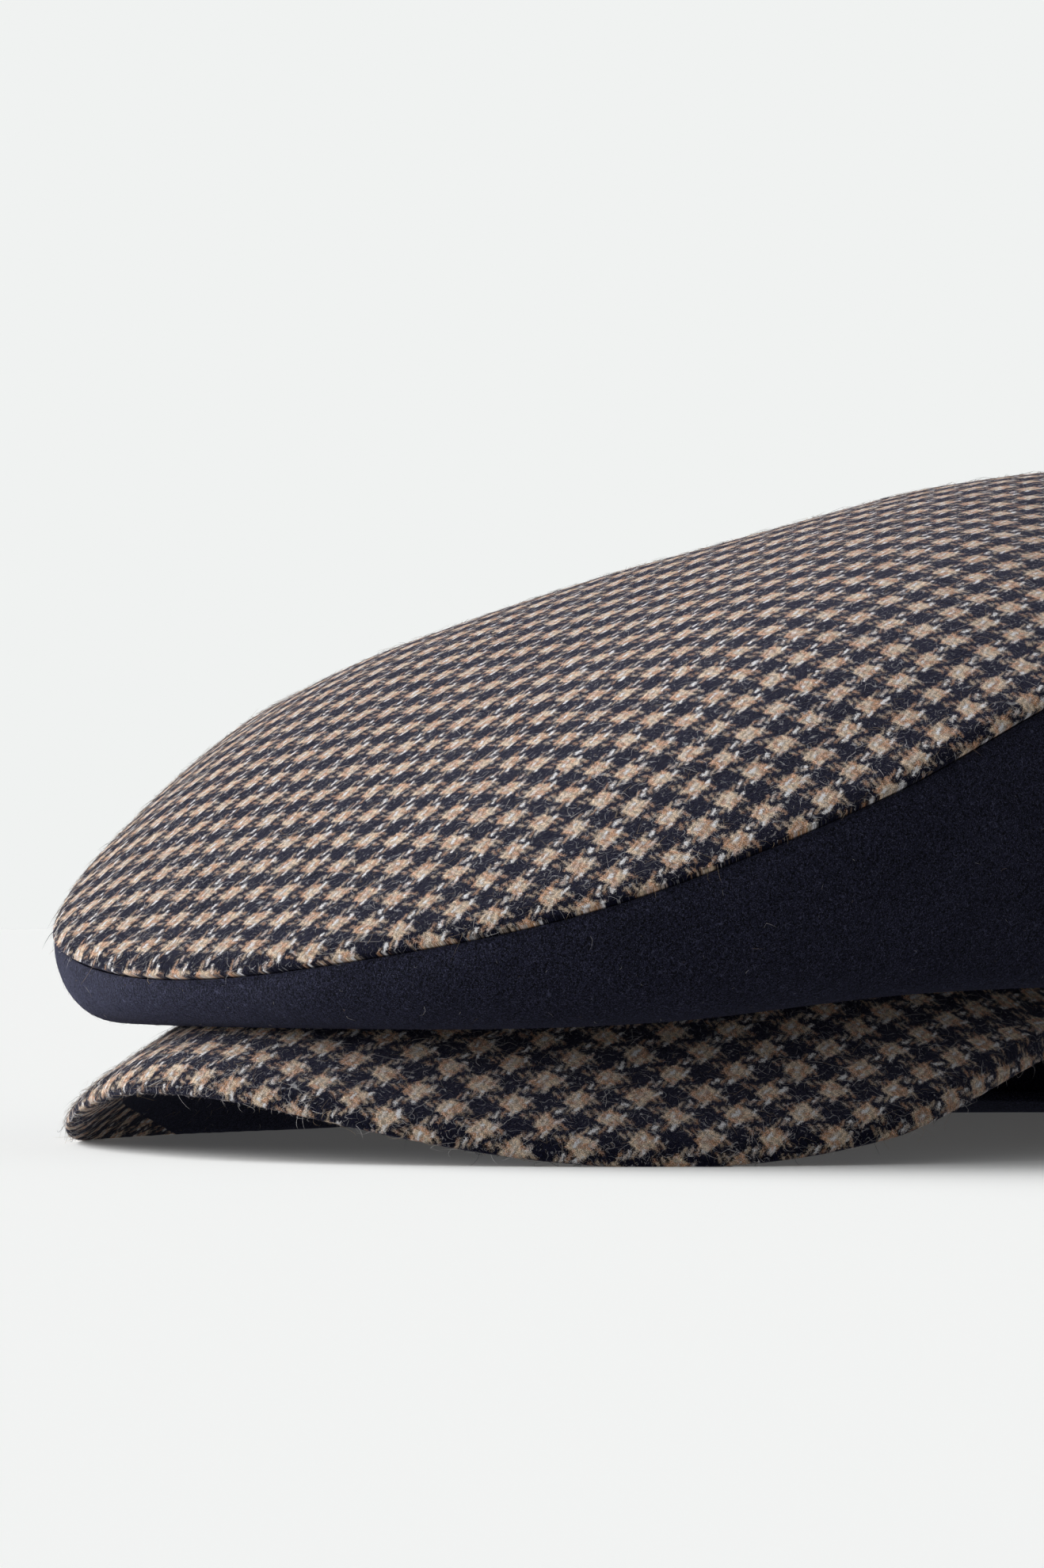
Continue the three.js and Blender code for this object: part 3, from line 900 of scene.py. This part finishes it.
def blend(tree, share, first, second):
    """Colour that goes from the first to the second as share goes from 0 to 1."""
    node = tree.nodes.new("ShaderNodeMix")
    node.data_type = "RGBA"
    feed(tree, node.inputs["Factor"], share)
    feed(tree, node.inputs["A"], first)
    feed(tree, node.inputs["B"], second)
    return node.outputs["Result"]


def between(tree, first, second, share):
    """Value that goes from the first to the second as share goes from 0 to 1."""
    return calc(tree, "MULTIPLY_ADD", share, calc(tree, "SUBTRACT", second, first), first)


def smooth_step(tree, value, low, high):
    node = tree.nodes.new("ShaderNodeMapRange")
    node.interpolation_type = "SMOOTHSTEP"
    feed(tree, node.inputs["Value"], value)
    set_inputs(node, {"From Min": low, "From Max": high})
    return node.outputs["Result"]


def flecks(tree, value, fleck):
    """How strongly a fleck shows where a noise has a value."""
    return calc(tree, "MULTIPLY", smooth_step(tree, value, *fleck["edge"]), fleck["share"])


def noise(tree, vector, scale, detail=1.0, rough=0.5, flat=True):
    """Noise over a flat cloth position, or through space where flat is false."""
    node = tree.nodes.new("ShaderNodeTexNoise")
    node.noise_dimensions = "2D" if flat else "3D"
    feed(tree, node.inputs["Vector"], vector)
    set_inputs(node, {"Scale": scale, "Detail": detail, "Roughness": rough})
    return node


def noise_value(tree, vector, **kind):
    return noise(tree, vector, **kind).outputs[0]


def centred(tree, node, size):
    """Sideways push of about size from a noise node's channels."""
    push = vector_calc(tree, "SUBTRACT", node.outputs["Color"], (0.5, 0.5, 0.5))
    return vector_calc(tree, "SCALE", push, scale=size)


def joined(tree, x, y):
    node = tree.nodes.new("ShaderNodeCombineXYZ")
    feed(tree, node.inputs[0], x)
    feed(tree, node.inputs[1], y)
    return node.outputs[0]


def new_group(name, inputs, outputs):
    tree = bpy.data.node_groups.new(name, "ShaderNodeTree")
    for label, kind in inputs:
        tree.interface.new_socket(label, in_out="INPUT", socket_type=kind)
    for label, kind in outputs:
        tree.interface.new_socket(label, in_out="OUTPUT", socket_type=kind)
    start = tree.nodes.new("NodeGroupInput").outputs
    end = tree.nodes.new("NodeGroupOutput").inputs
    return tree, start, end


# Layers of flat-lying hairs. shift: start of the layer's noise. size: its fineness. The noises tell where
# a hair runs and in which patches hairs lie close.
HAIR_LAYERS = [
    {"shift": (3, 7, 1), "size": 1.0},
    {"shift": (17, 5, 31), "size": 1.9},
]
HAIR_NOISE = {"scale": 1.0, "flat": False}
HAIR_PATCH_NOISE = {"scale": 2.7, "detail": 0.0, "flat": False}
HAIR_PATCH_EDGE = (0.45, 0.6)


def wool_hair_group():
    """Fine stray hairs lying on the cloth: thin winding lines, close in some places and few in others."""
    tree, start, end = new_group(
        "Stray wool hairs",
        [("Position", "NodeSocketVector"), ("Width", "NodeSocketFloat")],
        [("Hairs", "NodeSocketFloat")])
    found = None
    for layer in HAIR_LAYERS:
        moved = vector_calc(tree, "SCALE", start["Position"], scale=layer["size"])
        moved = vector_calc(tree, "ADD", moved, layer["shift"])
        line = noise_value(tree, moved, **HAIR_NOISE)
        away = calc(tree, "ABSOLUTE", calc(tree, "SUBTRACT", line, 0.5))
        thin = calc(tree, "SUBTRACT", 1.0, calc(tree, "DIVIDE", away, start["Width"]), clamp=True)
        patch = noise_value(tree, moved, **HAIR_PATCH_NOISE)
        hair = calc(tree, "MULTIPLY", thin, smooth_step(tree, patch, *HAIR_PATCH_EDGE))
        found = hair if found is None else calc(tree, "MAXIMUM", found, hair)
    tree.links.new(found, end["Hairs"])
    return tree


def place_hairs(tree, hairs, position, kind):
    node = tree.nodes.new("ShaderNodeGroup")
    node.node_tree = hairs
    tree.links.new(vector_calc(tree, "SCALE", position, scale=kind["scale"]), node.inputs["Position"])
    node.inputs["Width"].default_value = kind["width"]
    return node.outputs["Hairs"]


# Houndstooth on a position counted in yarns. An edge is where a value starts and is full; a shade or a
# height is how much a feature adds, and a shade also tells what it adds to.
FLOAT_SLANT = 0.3
RIDGE_POWER = 0.6
HUMP_POWER = 0.5
HUMP_SHARE = 0.6
TOOTH_EDGE = (0.4, 0.16)
TOOTH_SHARE = 0.6
CREAM_EDGE = (0.46, 0.26)
FIBRE_ACROSS = 6.5
FIBRE_ALONG = 1.6
FIBRE_SHIFTS = (7.3, 5.1)
FIBRE_NOISE = {"scale": 1.0, "detail": 2.0, "rough": 0.6}
FRAY_SHIFTS = ((0, 0, 0), (11.3, 4.7, 0), (3.9, 17.1, 0))
FRAY_NOISE = {"scale": 4.5, "detail": 2.0}
FRAY_SIZE = 1.5
YARN_BENDS = ({"scale": 0.12, "size": 1.5}, {"scale": 0.35, "size": 1.1}, {"scale": 2.1, "size": 0.9})
FUZZ_NOISE = {"scale": 5.0, "detail": 2.0, "rough": 0.65}
RUST_NOISE = {"scale": 0.45}
RUST_PATCHES = {"edge": (0.42, 0.6), "share": 0.8}
PALE_FIBRES = {"edge": (0.5, 0.66), "share": 0.5}
NAVY_FLECKS = {"edge": (0.55, 0.72), "share": 0.3}
CREAM_NOISE = {"scale": 0.55}
CREAM_STRETCHES = {"edge": (0.42, 0.6), "share": 0.75}
CREAM_LEAST = 0.25
# Painted shade of the yarns' relief, with their own tone in the fibres and fuzz
HEIGHT_SHADE = (0.8, 0.36)
FIBRE_SHADE = (1.6, 0.2)
FUZZ_SHADE = (1.8, 0.1)
CREAM_SHADE = (0.9, 0.55)
WEAVE_HAIRS = {"scale": 0.3, "width": 0.012, "share": 0.4}
FIBRE_HEIGHT = 0.5
FUZZ_HEIGHT = 0.6
HAIR_HEIGHT = 0.3


def twill_group():
    """Two-and-two twill on a position counted in yarns: four light and four navy yarns each way. Tells
    how much light yarn and how much cream yarn shows, how high its float stands and how its fibres lie."""
    tree, start, end = new_group(
        "Twill yarns",
        [("Yarns", "NodeSocketVector")],
        [(label, "NodeSocketFloat") for label in ("Light", "Cream", "Height", "Fibres")])
    parts = tree.nodes.new("ShaderNodeSeparateXYZ")
    tree.links.new(start["Yarns"], parts.inputs[0])
    x, y = parts.outputs[0], parts.outputs[1]
    i = calc(tree, "FLOOR", x)
    j = calc(tree, "FLOOR", y)
    in_x = calc(tree, "SUBTRACT", x, i)
    in_y = calc(tree, "SUBTRACT", y, j)
    step = calc(tree, "FLOORED_MODULO", calc(tree, "SUBTRACT", j, i), TWILL_YARNS)
    long_on_top = calc(tree, "LESS_THAN", step, TWILL_FLOAT)

    cross_step = calc(tree, "SUBTRACT", TWILL_YARNS - 1, step)
    long_run = calc(tree, "DIVIDE", calc(tree, "ADD", step, in_y), TWILL_FLOAT)
    cross_run = calc(tree, "DIVIDE", calc(tree, "ADD", cross_step, in_x), TWILL_FLOAT)
    run = between(tree, cross_run, long_run, long_on_top)
    across = between(tree, in_y, in_x, long_on_top)
    slanted = calc(tree, "MULTIPLY_ADD", calc(tree, "SUBTRACT", run, 0.5), FLOAT_SLANT, across)
    ridge = calc(tree, "SINE", calc(tree, "MULTIPLY", slanted, math.pi), clamp=True)
    hump = calc(tree, "SINE", calc(tree, "MULTIPLY", run, math.pi), clamp=True)
    rounded = calc(tree, "POWER", ridge, RIDGE_POWER)
    arched = calc(tree, "MULTIPLY_ADD", calc(tree, "POWER", hump, HUMP_POWER), HUMP_SHARE, 1 - HUMP_SHARE)
    tree.links.new(calc(tree, "MULTIPLY", rounded, arched), end["Height"])

    light_long, light_cross = [
        calc(tree, "LESS_THAN", calc(tree, "FLOORED_MODULO", yarn, YARNS_PER_REPEAT), YARNS_PER_REPEAT / 2)
        for yarn in (i, j)]
    light = between(tree, light_cross, light_long, long_on_top)
    off_middle = calc(tree, "ABSOLUTE", calc(tree, "SUBTRACT", slanted, 0.5))
    tooth = calc(tree, "MULTIPLY", smooth_step(tree, off_middle, *TOOTH_EDGE), TOOTH_SHARE)
    full_light = calc(tree, "MULTIPLY", light_long, light_cross)
    seen = calc(tree, "MULTIPLY", light, between(tree, tooth, 1.0, full_light))
    tree.links.new(seen, end["Light"])
    cream_long = calc(tree, "MULTIPLY", light_long, calc(tree, "FLOORED_MODULO", i, 2.0))
    cream_core = calc(tree, "MULTIPLY", cream_long, smooth_step(tree, off_middle, *CREAM_EDGE))
    tree.links.new(calc(tree, "MULTIPLY", long_on_top, cream_core), end["Cream"])

    twist_x = calc(tree, "MULTIPLY_ADD", i, FIBRE_SHIFTS[0], run)
    twist_x = calc(tree, "MULTIPLY_ADD", across, FIBRE_ACROSS, twist_x)
    twist_y = calc(tree, "MULTIPLY_ADD", run, FIBRE_ALONG, calc(tree, "MULTIPLY", j, FIBRE_SHIFTS[1]))
    tree.links.new(noise_value(tree, joined(tree, twist_x, twist_y), **FIBRE_NOISE), end["Fibres"])
    return tree


def frayed_twill(tree, twill, yarns):
    """The twill looked at several times through different fuzz, and the looks averaged."""
    bent = yarns
    for bend in YARN_BENDS:
        push = centred(tree, noise(tree, yarns, bend["scale"]), bend["size"])
        bent = vector_calc(tree, "ADD", bent, push)
    sums = {}
    for shift in FRAY_SHIFTS:
        moved = vector_calc(tree, "ADD", yarns, shift)
        push = centred(tree, noise(tree, moved, **FRAY_NOISE), FRAY_SIZE)
        look = tree.nodes.new("ShaderNodeGroup")
        look.node_tree = twill
        tree.links.new(vector_calc(tree, "ADD", bent, push), look.inputs["Yarns"])
        for label in ("Light", "Cream", "Height", "Fibres"):
            part = calc(tree, "MULTIPLY", look.outputs[label], 1 / len(FRAY_SHIFTS))
            sums[label] = calc(tree, "ADD", sums[label], part) if label in sums else part
    return sums


def houndstooth_group(twill, hairs):
    """Colour and height of the houndstooth wool, on a cloth position counted in repeats, the colour with
    painted shade of the yarns' relief. Every other light yarn along the cloth is cream in stretches, the
    rest are tan."""
    colours = ("Navy", "Navy Fleck", "Tan", "Rust", "Cream")
    tree, start, end = new_group(
        "Houndstooth wool",
        [("Grain", "NodeSocketVector")] + [(label, "NodeSocketColor") for label in colours],
        [("Color", "NodeSocketColor"), ("Height", "NodeSocketFloat")])
    yarns = vector_calc(tree, "SCALE", start["Grain"], scale=float(YARNS_PER_REPEAT))
    weave = frayed_twill(tree, twill, yarns)
    fibres = weave["Fibres"]
    fuzz = noise_value(tree, yarns, **FUZZ_NOISE)

    rust_share = flecks(tree, noise_value(tree, yarns, **RUST_NOISE), RUST_PATCHES)
    tan = blend(tree, rust_share, start["Tan"], start["Rust"])
    tan = blend(tree, flecks(tree, fuzz, PALE_FIBRES), tan, start["Cream"])
    navy = blend(tree, flecks(tree, fuzz, NAVY_FLECKS), start["Navy"], start["Navy Fleck"])
    cloth = blend(tree, weave["Light"], navy, tan)

    # Painted shade: the yarns are darker in the gaps between floats and lighter on their tops. The fibres
    # and fuzz make them lighter and darker in streaks and specks, partly as painted shade of their relief
    # and partly as their own tone.
    shade = calc(tree, "MULTIPLY_ADD", weave["Height"], *HEIGHT_SHADE)
    shade = calc(tree, "MULTIPLY", shade, calc(tree, "MULTIPLY_ADD", fibres, *FIBRE_SHADE))
    shade = calc(tree, "MULTIPLY", shade, calc(tree, "MULTIPLY_ADD", fuzz, *FUZZ_SHADE))
    cloth = vector_calc(tree, "SCALE", cloth, scale=shade)
    cream_shade = calc(tree, "MULTIPLY_ADD", fuzz, *CREAM_SHADE)
    cream_yarn = vector_calc(tree, "SCALE", start["Cream"], scale=cream_shade)
    stretches = flecks(tree, noise_value(tree, yarns, **CREAM_NOISE), CREAM_STRETCHES)
    cream_share = calc(tree, "MULTIPLY", weave["Cream"], calc(tree, "ADD", stretches, CREAM_LEAST))
    cloth = blend(tree, cream_share, cloth, cream_yarn)

    hair = place_hairs(tree, hairs, yarns, WEAVE_HAIRS)
    cloth = blend(tree, calc(tree, "MULTIPLY", hair, WEAVE_HAIRS["share"]), cloth, start["Cream"])
    tree.links.new(cloth, end["Color"])
    height = calc(tree, "MULTIPLY_ADD", fibres, FIBRE_HEIGHT, weave["Height"])
    height = calc(tree, "MULTIPLY_ADD", fuzz, FUZZ_HEIGHT, height)
    height = calc(tree, "MULTIPLY_ADD", hair, HAIR_HEIGHT, height)
    tree.links.new(height, end["Height"])
    return tree


def new_material(name):
    material = bpy.data.materials.new(name)
    material.use_nodes = True
    tree = material.node_tree
    shader = tree.nodes["Principled BSDF"]
    return material, tree, shader


def add_bump(tree, shader, height, bump_inputs):
    bump = tree.nodes.new("ShaderNodeBump")
    set_inputs(bump, bump_inputs)
    tree.links.new(height, bump.inputs["Height"])
    tree.links.new(bump.outputs["Normal"], shader.inputs["Normal"])


# Navy flannel on a position in millimetres, in the same words as the houndstooth
NAP_NOISE = {"scale": 2.6, "detail": 3.0, "rough": 0.65, "flat": False}
NAP_EDGE = (0.36, 0.66)
SPECK_NOISE = {"scale": 6.0, "rough": 0.6, "flat": False}
SPECKS = {"edge": (0.52, 0.75), "share": 0.6}
SPECK_HEIGHT = 0.5
CLOUD_NOISE = {"scale": 0.12, "flat": False}
CLOUD_SHARE = 0.35
BAND_HAIRS = {"scale": 0.5, "width": 0.011, "share": 0.5}

# Inputs of the wools' shaders and bumps
WOOL_FINISH = {"Roughness": 0.92, "Specular IOR Level": 0.1}
STRAND_FINISH = {"Roughness": 0.75, "Specular IOR Level": 0.15}
HOUNDSTOOTH_SHEEN = {
    "Sheen Weight": 0.4, "Sheen Roughness": 0.08, "Sheen Tint": (*linear(214, 212, 250), 1)}
NAVY_SHEEN = {
    "Sheen Weight": 0.35, "Sheen Roughness": 0.4, "Sheen Tint": (*linear(125, 130, 165), 1)}
HOUNDSTOOTH_BUMP = {"Strength": 0.8, "Distance": 0.00035}
NAVY_BUMP = {"Strength": 0.7, "Distance": 0.0004}


def houndstooth_material(settings, group):
    material, tree, shader = new_material("houndstooth_cloth")
    grain = tree.nodes.new("ShaderNodeUVMap")
    grain.uv_map = "grain"
    weave = tree.nodes.new("ShaderNodeGroup")
    weave.node_tree = group
    tree.links.new(grain.outputs["UV"], weave.inputs["Grain"])
    set_inputs(weave, {
        "Navy": (*settings.navy_yarn, 1), "Navy Fleck": (*settings.navy_fleck, 1),
        "Tan": (*settings.tan_yarn, 1), "Rust": (*settings.rust_fleck, 1),
        "Cream": (*settings.cream_yarn, 1)})
    tree.links.new(weave.outputs["Color"], shader.inputs["Base Color"])
    add_bump(tree, shader, weave.outputs["Height"], HOUNDSTOOTH_BUMP)
    set_inputs(shader, {**WOOL_FINISH, **HOUNDSTOOTH_SHEEN})
    return material


def navy_material(settings, hairs):
    material, tree, shader = new_material("navy_flannel")
    place_node = tree.nodes.new("ShaderNodeTexCoord")
    position = vector_calc(tree, "SCALE", place_node.outputs["Object"], scale=1 / MM)
    nap = noise_value(tree, position, **NAP_NOISE)
    specks = noise_value(tree, position, **SPECK_NOISE)
    clouds = noise_value(tree, position, **CLOUD_NOISE)
    hair = place_hairs(tree, hairs, position, BAND_HAIRS)
    navy = (*settings.band_navy, 1)
    shadow = (*settings.band_shadow, 1)
    fleck = (*settings.band_fleck, 1)
    base = blend(tree, smooth_step(tree, nap, *NAP_EDGE), shadow, navy)
    base = blend(tree, flecks(tree, specks, SPECKS), base, fleck)
    base = blend(tree, calc(tree, "MULTIPLY", hair, BAND_HAIRS["share"]), base, fleck)
    base = blend(tree, calc(tree, "MULTIPLY", clouds, CLOUD_SHARE), base, shadow)
    tree.links.new(base, shader.inputs["Base Color"])
    height = calc(tree, "MULTIPLY_ADD", specks, SPECK_HEIGHT, nap)
    height = calc(tree, "MULTIPLY_ADD", hair, HAIR_HEIGHT, height)
    add_bump(tree, shader, height, NAVY_BUMP)
    set_inputs(shader, {**WOOL_FINISH, **NAVY_SHEEN})
    return material


def strand_material():
    material, tree, shader = new_material("wool_strands")
    colour = tree.nodes.new("ShaderNodeAttribute")
    colour.attribute_name = "strand_colour"
    tree.links.new(colour.outputs["Color"], shader.inputs["Base Color"])
    set_inputs(shader, STRAND_FINISH)
    return material


# Settings, operators and panel


def colour_setting(name, description, default):
    return FloatVectorProperty(
        name=name, description=description, subtype="COLOR", size=3, min=0, max=1, default=default)


def length_setting(name, description, default):
    return FloatProperty(
        name=name, description=description, unit="LENGTH", min=0, precision=5, default=default)


class FlatCapSettings(bpy.types.PropertyGroup):
    """Sizes and colours of the flat cap."""

    crown_thickness: length_setting("Crown cloth", "Thickness of the crown panel", 0.002)
    band_thickness: length_setting("Band cloth", "Thickness of the side band", 0.0018)
    weave_width: length_setting("Weave width", "Houndstooth repeat across the cap", 0.0062)
    weave_length: length_setting("Weave length", "Houndstooth repeat along the cap", 0.00665)
    back_seam_depth: length_setting("Back seam", "Depth of the seam at the back of the band", 0.0007)
    hair_width: length_setting("Hair width", "Thickness of the loose wool hairs", 0.000055)
    navy_yarn: colour_setting("Navy yarn", "Dark yarn of the houndstooth", linear(14, 16, 37))
    navy_fleck: colour_setting("Navy fleck", "Lighter fibres in the dark yarn", linear(86, 87, 112))
    tan_yarn: colour_setting("Tan yarn", "Main light yarn of the houndstooth", linear(239, 212, 180))
    rust_fleck: colour_setting("Rust fleck", "Browner fibres in the tan yarn", linear(209, 147, 99))
    cream_yarn: colour_setting("Cream yarn", "Palest yarn of the houndstooth", linear(252, 252, 255))
    band_navy: colour_setting("Band navy", "Main colour of the side band", linear(44, 45, 65))
    band_shadow: colour_setting("Band shadow", "Depths between the band's fibres", linear(7, 8, 13))
    band_fleck: colour_setting("Band fleck", "Pale fibres of the band", linear(108, 111, 140))
    pale_hair: colour_setting("Pale hair", "Cream and grey loose hairs", linear(222, 218, 218))
    tan_hair: colour_setting("Tan hair", "Tan loose hairs", linear(180, 160, 138))
    navy_hair: colour_setting("Navy hair", "Dark loose hairs of the houndstooth", linear(22, 23, 37))
    band_hair: colour_setting("Band hair", "Loose hairs of the side band", linear(46, 50, 70))
    floor_colour: colour_setting("Floor", "Colour of the table", linear(240, 241, 240))
    floor_bounce: colour_setting("Floor bounce", "Light that the table throws back", linear(160, 160, 160))


def shared_materials(settings):
    """The two wools and the loose hairs, made once."""
    made = bpy.data.materials
    if "houndstooth_cloth" not in made:
        hairs = wool_hair_group()
        houndstooth_material(settings, houndstooth_group(twill_group(), hairs))
        navy_material(settings, hairs)
        strand_material()
    return made["houndstooth_cloth"], made["navy_flannel"], made["wool_strands"]


def dress(piece, material):
    piece.data.materials.clear()
    piece.data.materials.append(material)
    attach(piece, "root")


def face_underside_for_shade(piece, material):
    """Gives a second material, a dark navy facing that is partly painted shade under the peak, to the
    faces marked as facing.
    """
    marked = np.zeros(len(piece.data.polygons), np.int32)
    piece.data.attributes["facing"].data.foreach_get("value", marked)
    piece.data.materials.append(material)
    piece.data.polygons.foreach_set("material_index", marked)


class FLATCAP_OT_crown_top(bpy.types.Operator):
    """Makes the domed crown panel and its nap"""

    bl_idname = "flatcap.crown_top"
    bl_label = "Crown top"

    def execute(self, context):
        settings = context.scene.flat_cap
        houndstooth, _, strands = shared_materials(settings)
        cloth, points, grain = make_crown(settings)
        dress(cloth, houndstooth)
        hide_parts("crown_top")
        for name, nap in (("crown_top_nap", CROWN_NAP), ("crown_edge_nap", CROWN_EDGE_NAP)):
            piece = make_nap(name, points, grain, nap, houndstooth_strand_colours, settings)
            dress(piece, strands)
        return {"FINISHED"}


class FLATCAP_OT_side_band(bpy.types.Operator):
    """Makes the navy side band and its nap"""

    bl_idname = "flatcap.side_band"
    bl_label = "Side band"

    def execute(self, context):
        settings = context.scene.flat_cap
        _, navy, strands = shared_materials(settings)
        cloth, points = make_band(settings)
        dress(cloth, navy)
        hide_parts("side_band")
        flat = points[..., :2]
        piece = make_nap("side_band_nap", points, flat, BAND_NAP, navy_strand_colours, settings)
        dress(piece, strands)
        return {"FINISHED"}


class FLATCAP_OT_peak(bpy.types.Operator):
    """Makes the arched peak and its nap"""

    bl_idname = "flatcap.peak"
    bl_label = "Peak"

    def execute(self, context):
        settings = context.scene.flat_cap
        houndstooth, navy, strands = shared_materials(settings)
        cloth, points, grain = make_peak(settings)
        dress(cloth, houndstooth)
        # Dark navy underside, partly painted shade under the peak
        face_underside_for_shade(cloth, navy)
        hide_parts("peak")
        piece = make_nap("peak_nap", points, grain, PEAK_NAP, houndstooth_strand_colours, settings)
        dress(piece, strands)
        return {"FINISHED"}


# Table: its width, its glow and how much of the glow the camera sees
FLOOR_SIZE = 60
FLOOR_GLOW_SEEN = 0.62
FLOOR_FINISH = {"Roughness": 0.8, "Specular IOR Level": 0.0, "Emission Strength": 0.09}


def make_floor(settings):
    """Pale table with an even glow. Next to what the camera sees of them, its colour throws less light
    back at the cap and its glow throws more."""
    deselect()
    bpy.ops.mesh.primitive_plane_add(size=FLOOR_SIZE)
    floor = bpy.context.object
    floor.name = "table"
    material, tree, shader = new_material("table")
    path = tree.nodes.new("ShaderNodeLightPath")
    bounce = (*settings.floor_bounce, 1)
    seen = (*settings.floor_colour, 1)
    camera_looks = path.outputs["Is Camera Ray"]
    tree.links.new(blend(tree, camera_looks, bounce, seen), shader.inputs["Base Color"])
    glow = blend(tree, camera_looks, (1, 1, 1, 1), (*[FLOOR_GLOW_SEEN] * 3, 1))
    tree.links.new(glow, shader.inputs["Emission Color"])
    set_inputs(shader, FLOOR_FINISH)
    floor.data.materials.append(material)


# Soft lights. left, lens, up: where the light comes from, towards the left of the picture, the
# camera and the ceiling. power: strength. spread: width in degrees.
LIGHTS = [
    {"name": "left_light", "left": 0.9, "lens": -0.32, "up": 0.4, "power": 5.7, "spread": 60},
    {"name": "low_light", "left": 0.8, "lens": 0.45, "up": 0.36, "power": 0.46, "spread": 30},
]
TO_LEFT = Vector((-0.656, -0.755, 0))
TO_LENS = Vector((0.755, -0.656, 0))

# Even surround: what the camera sees of it and the light that it gives
BACKDROP = {"Color": (*linear(240, 242, 241), 1)}
SKY = {"Color": (0.97, 0.98, 0.985, 1), "Strength": 0.2}

# Camera: place, lens and sensor in millimetres, degrees to the left of straight back, and degrees up
CAMERA_PLACE = (0.6373, -0.6223, 0.034)
CAMERA_LENS = 126.5
CAMERA_SENSOR = 36
CAMERA_NEAREST = 0.01
CAMERA_TURN = 49
CAMERA_PITCH = 1.457


def make_light():
    """Large soft lights from the left of the picture."""
    for row in LIGHTS:
        bpy.ops.object.light_add(type="SUN")
        sun = bpy.context.object
        sun.name = row["name"]
        sun.data.energy = row["power"]
        sun.data.angle = math.radians(row["spread"])
        toward = TO_LEFT * row["left"] + TO_LENS * row["lens"] + Vector((0, 0, row["up"]))
        sun.rotation_mode = "QUATERNION"
        sun.rotation_quaternion = toward.to_track_quat("Z", "Y")


def make_surround():
    world = bpy.data.worlds.new("studio")
    bpy.context.scene.world = world
    world.use_nodes = True
    tree = world.node_tree
    tree.nodes.clear()
    end = tree.nodes.new("ShaderNodeOutputWorld")
    seen = tree.nodes.new("ShaderNodeBackground")
    set_inputs(seen, BACKDROP)
    lights = tree.nodes.new("ShaderNodeBackground")
    set_inputs(lights, SKY)
    path = tree.nodes.new("ShaderNodeLightPath")
    choose = tree.nodes.new("ShaderNodeMixShader")
    tree.links.new(path.outputs["Is Camera Ray"], choose.inputs[0])
    tree.links.new(lights.outputs[0], choose.inputs[1])
    tree.links.new(seen.outputs[0], choose.inputs[2])
    tree.links.new(choose.outputs[0], end.inputs["Surface"])


def make_camera():
    bpy.ops.object.camera_add()
    camera = bpy.context.object
    camera.name = "camera"
    camera.data.sensor_width = CAMERA_SENSOR
    camera.data.lens = CAMERA_LENS
    camera.data.clip_start = CAMERA_NEAREST
    camera.location = CAMERA_PLACE
    turn = math.radians(CAMERA_TURN)
    pitch = math.radians(CAMERA_PITCH)
    ahead = Vector((-math.sin(turn) * math.cos(pitch), math.cos(turn) * math.cos(pitch), math.sin(pitch)))
    camera.rotation_mode = "QUATERNION"
    camera.rotation_quaternion = ahead.to_track_quat("-Z", "Y")
    bpy.context.scene.camera = camera


class FLATCAP_OT_stage(bpy.types.Operator):
    """Makes the table, the soft light and the camera"""

    bl_idname = "flatcap.stage"
    bl_label = "Stage"

    def execute(self, context):
        make_floor(context.scene.flat_cap)
        make_light()
        make_surround()
        make_camera()
        context.scene.view_settings.view_transform = "Standard"
        return {"FINISHED"}


class FLATCAP_PT_sidebar(bpy.types.Panel):
    """Lists the cap's settings and the steps that make it"""

    bl_idname = "FLATCAP_PT_sidebar"
    bl_label = "Flat cap"
    bl_space_type = "VIEW_3D"
    bl_region_type = "UI"
    bl_category = "Flat cap"

    def draw(self, context):
        for label in FlatCapSettings.__annotations__:
            self.layout.prop(context.scene.flat_cap, label)
        for step in STEPS:
            self.layout.operator(step.bl_idname)


STEPS = (FLATCAP_OT_crown_top, FLATCAP_OT_side_band, FLATCAP_OT_peak, FLATCAP_OT_stage)
CLASSES = (FlatCapSettings, *STEPS, FLATCAP_PT_sidebar)


def register():
    for item in CLASSES:
        bpy.utils.register_class(item)
    bpy.types.Scene.flat_cap = PointerProperty(type=FlatCapSettings)


def unregister():
    del bpy.types.Scene.flat_cap
    for item in reversed(CLASSES):
        bpy.utils.unregister_class(item)


def main():
    register()
    bpy.ops.flatcap.crown_top()
    bpy.ops.flatcap.side_band()
    bpy.ops.flatcap.peak()
    bpy.ops.flatcap.stage()


if __name__ == "__main__":
    main()
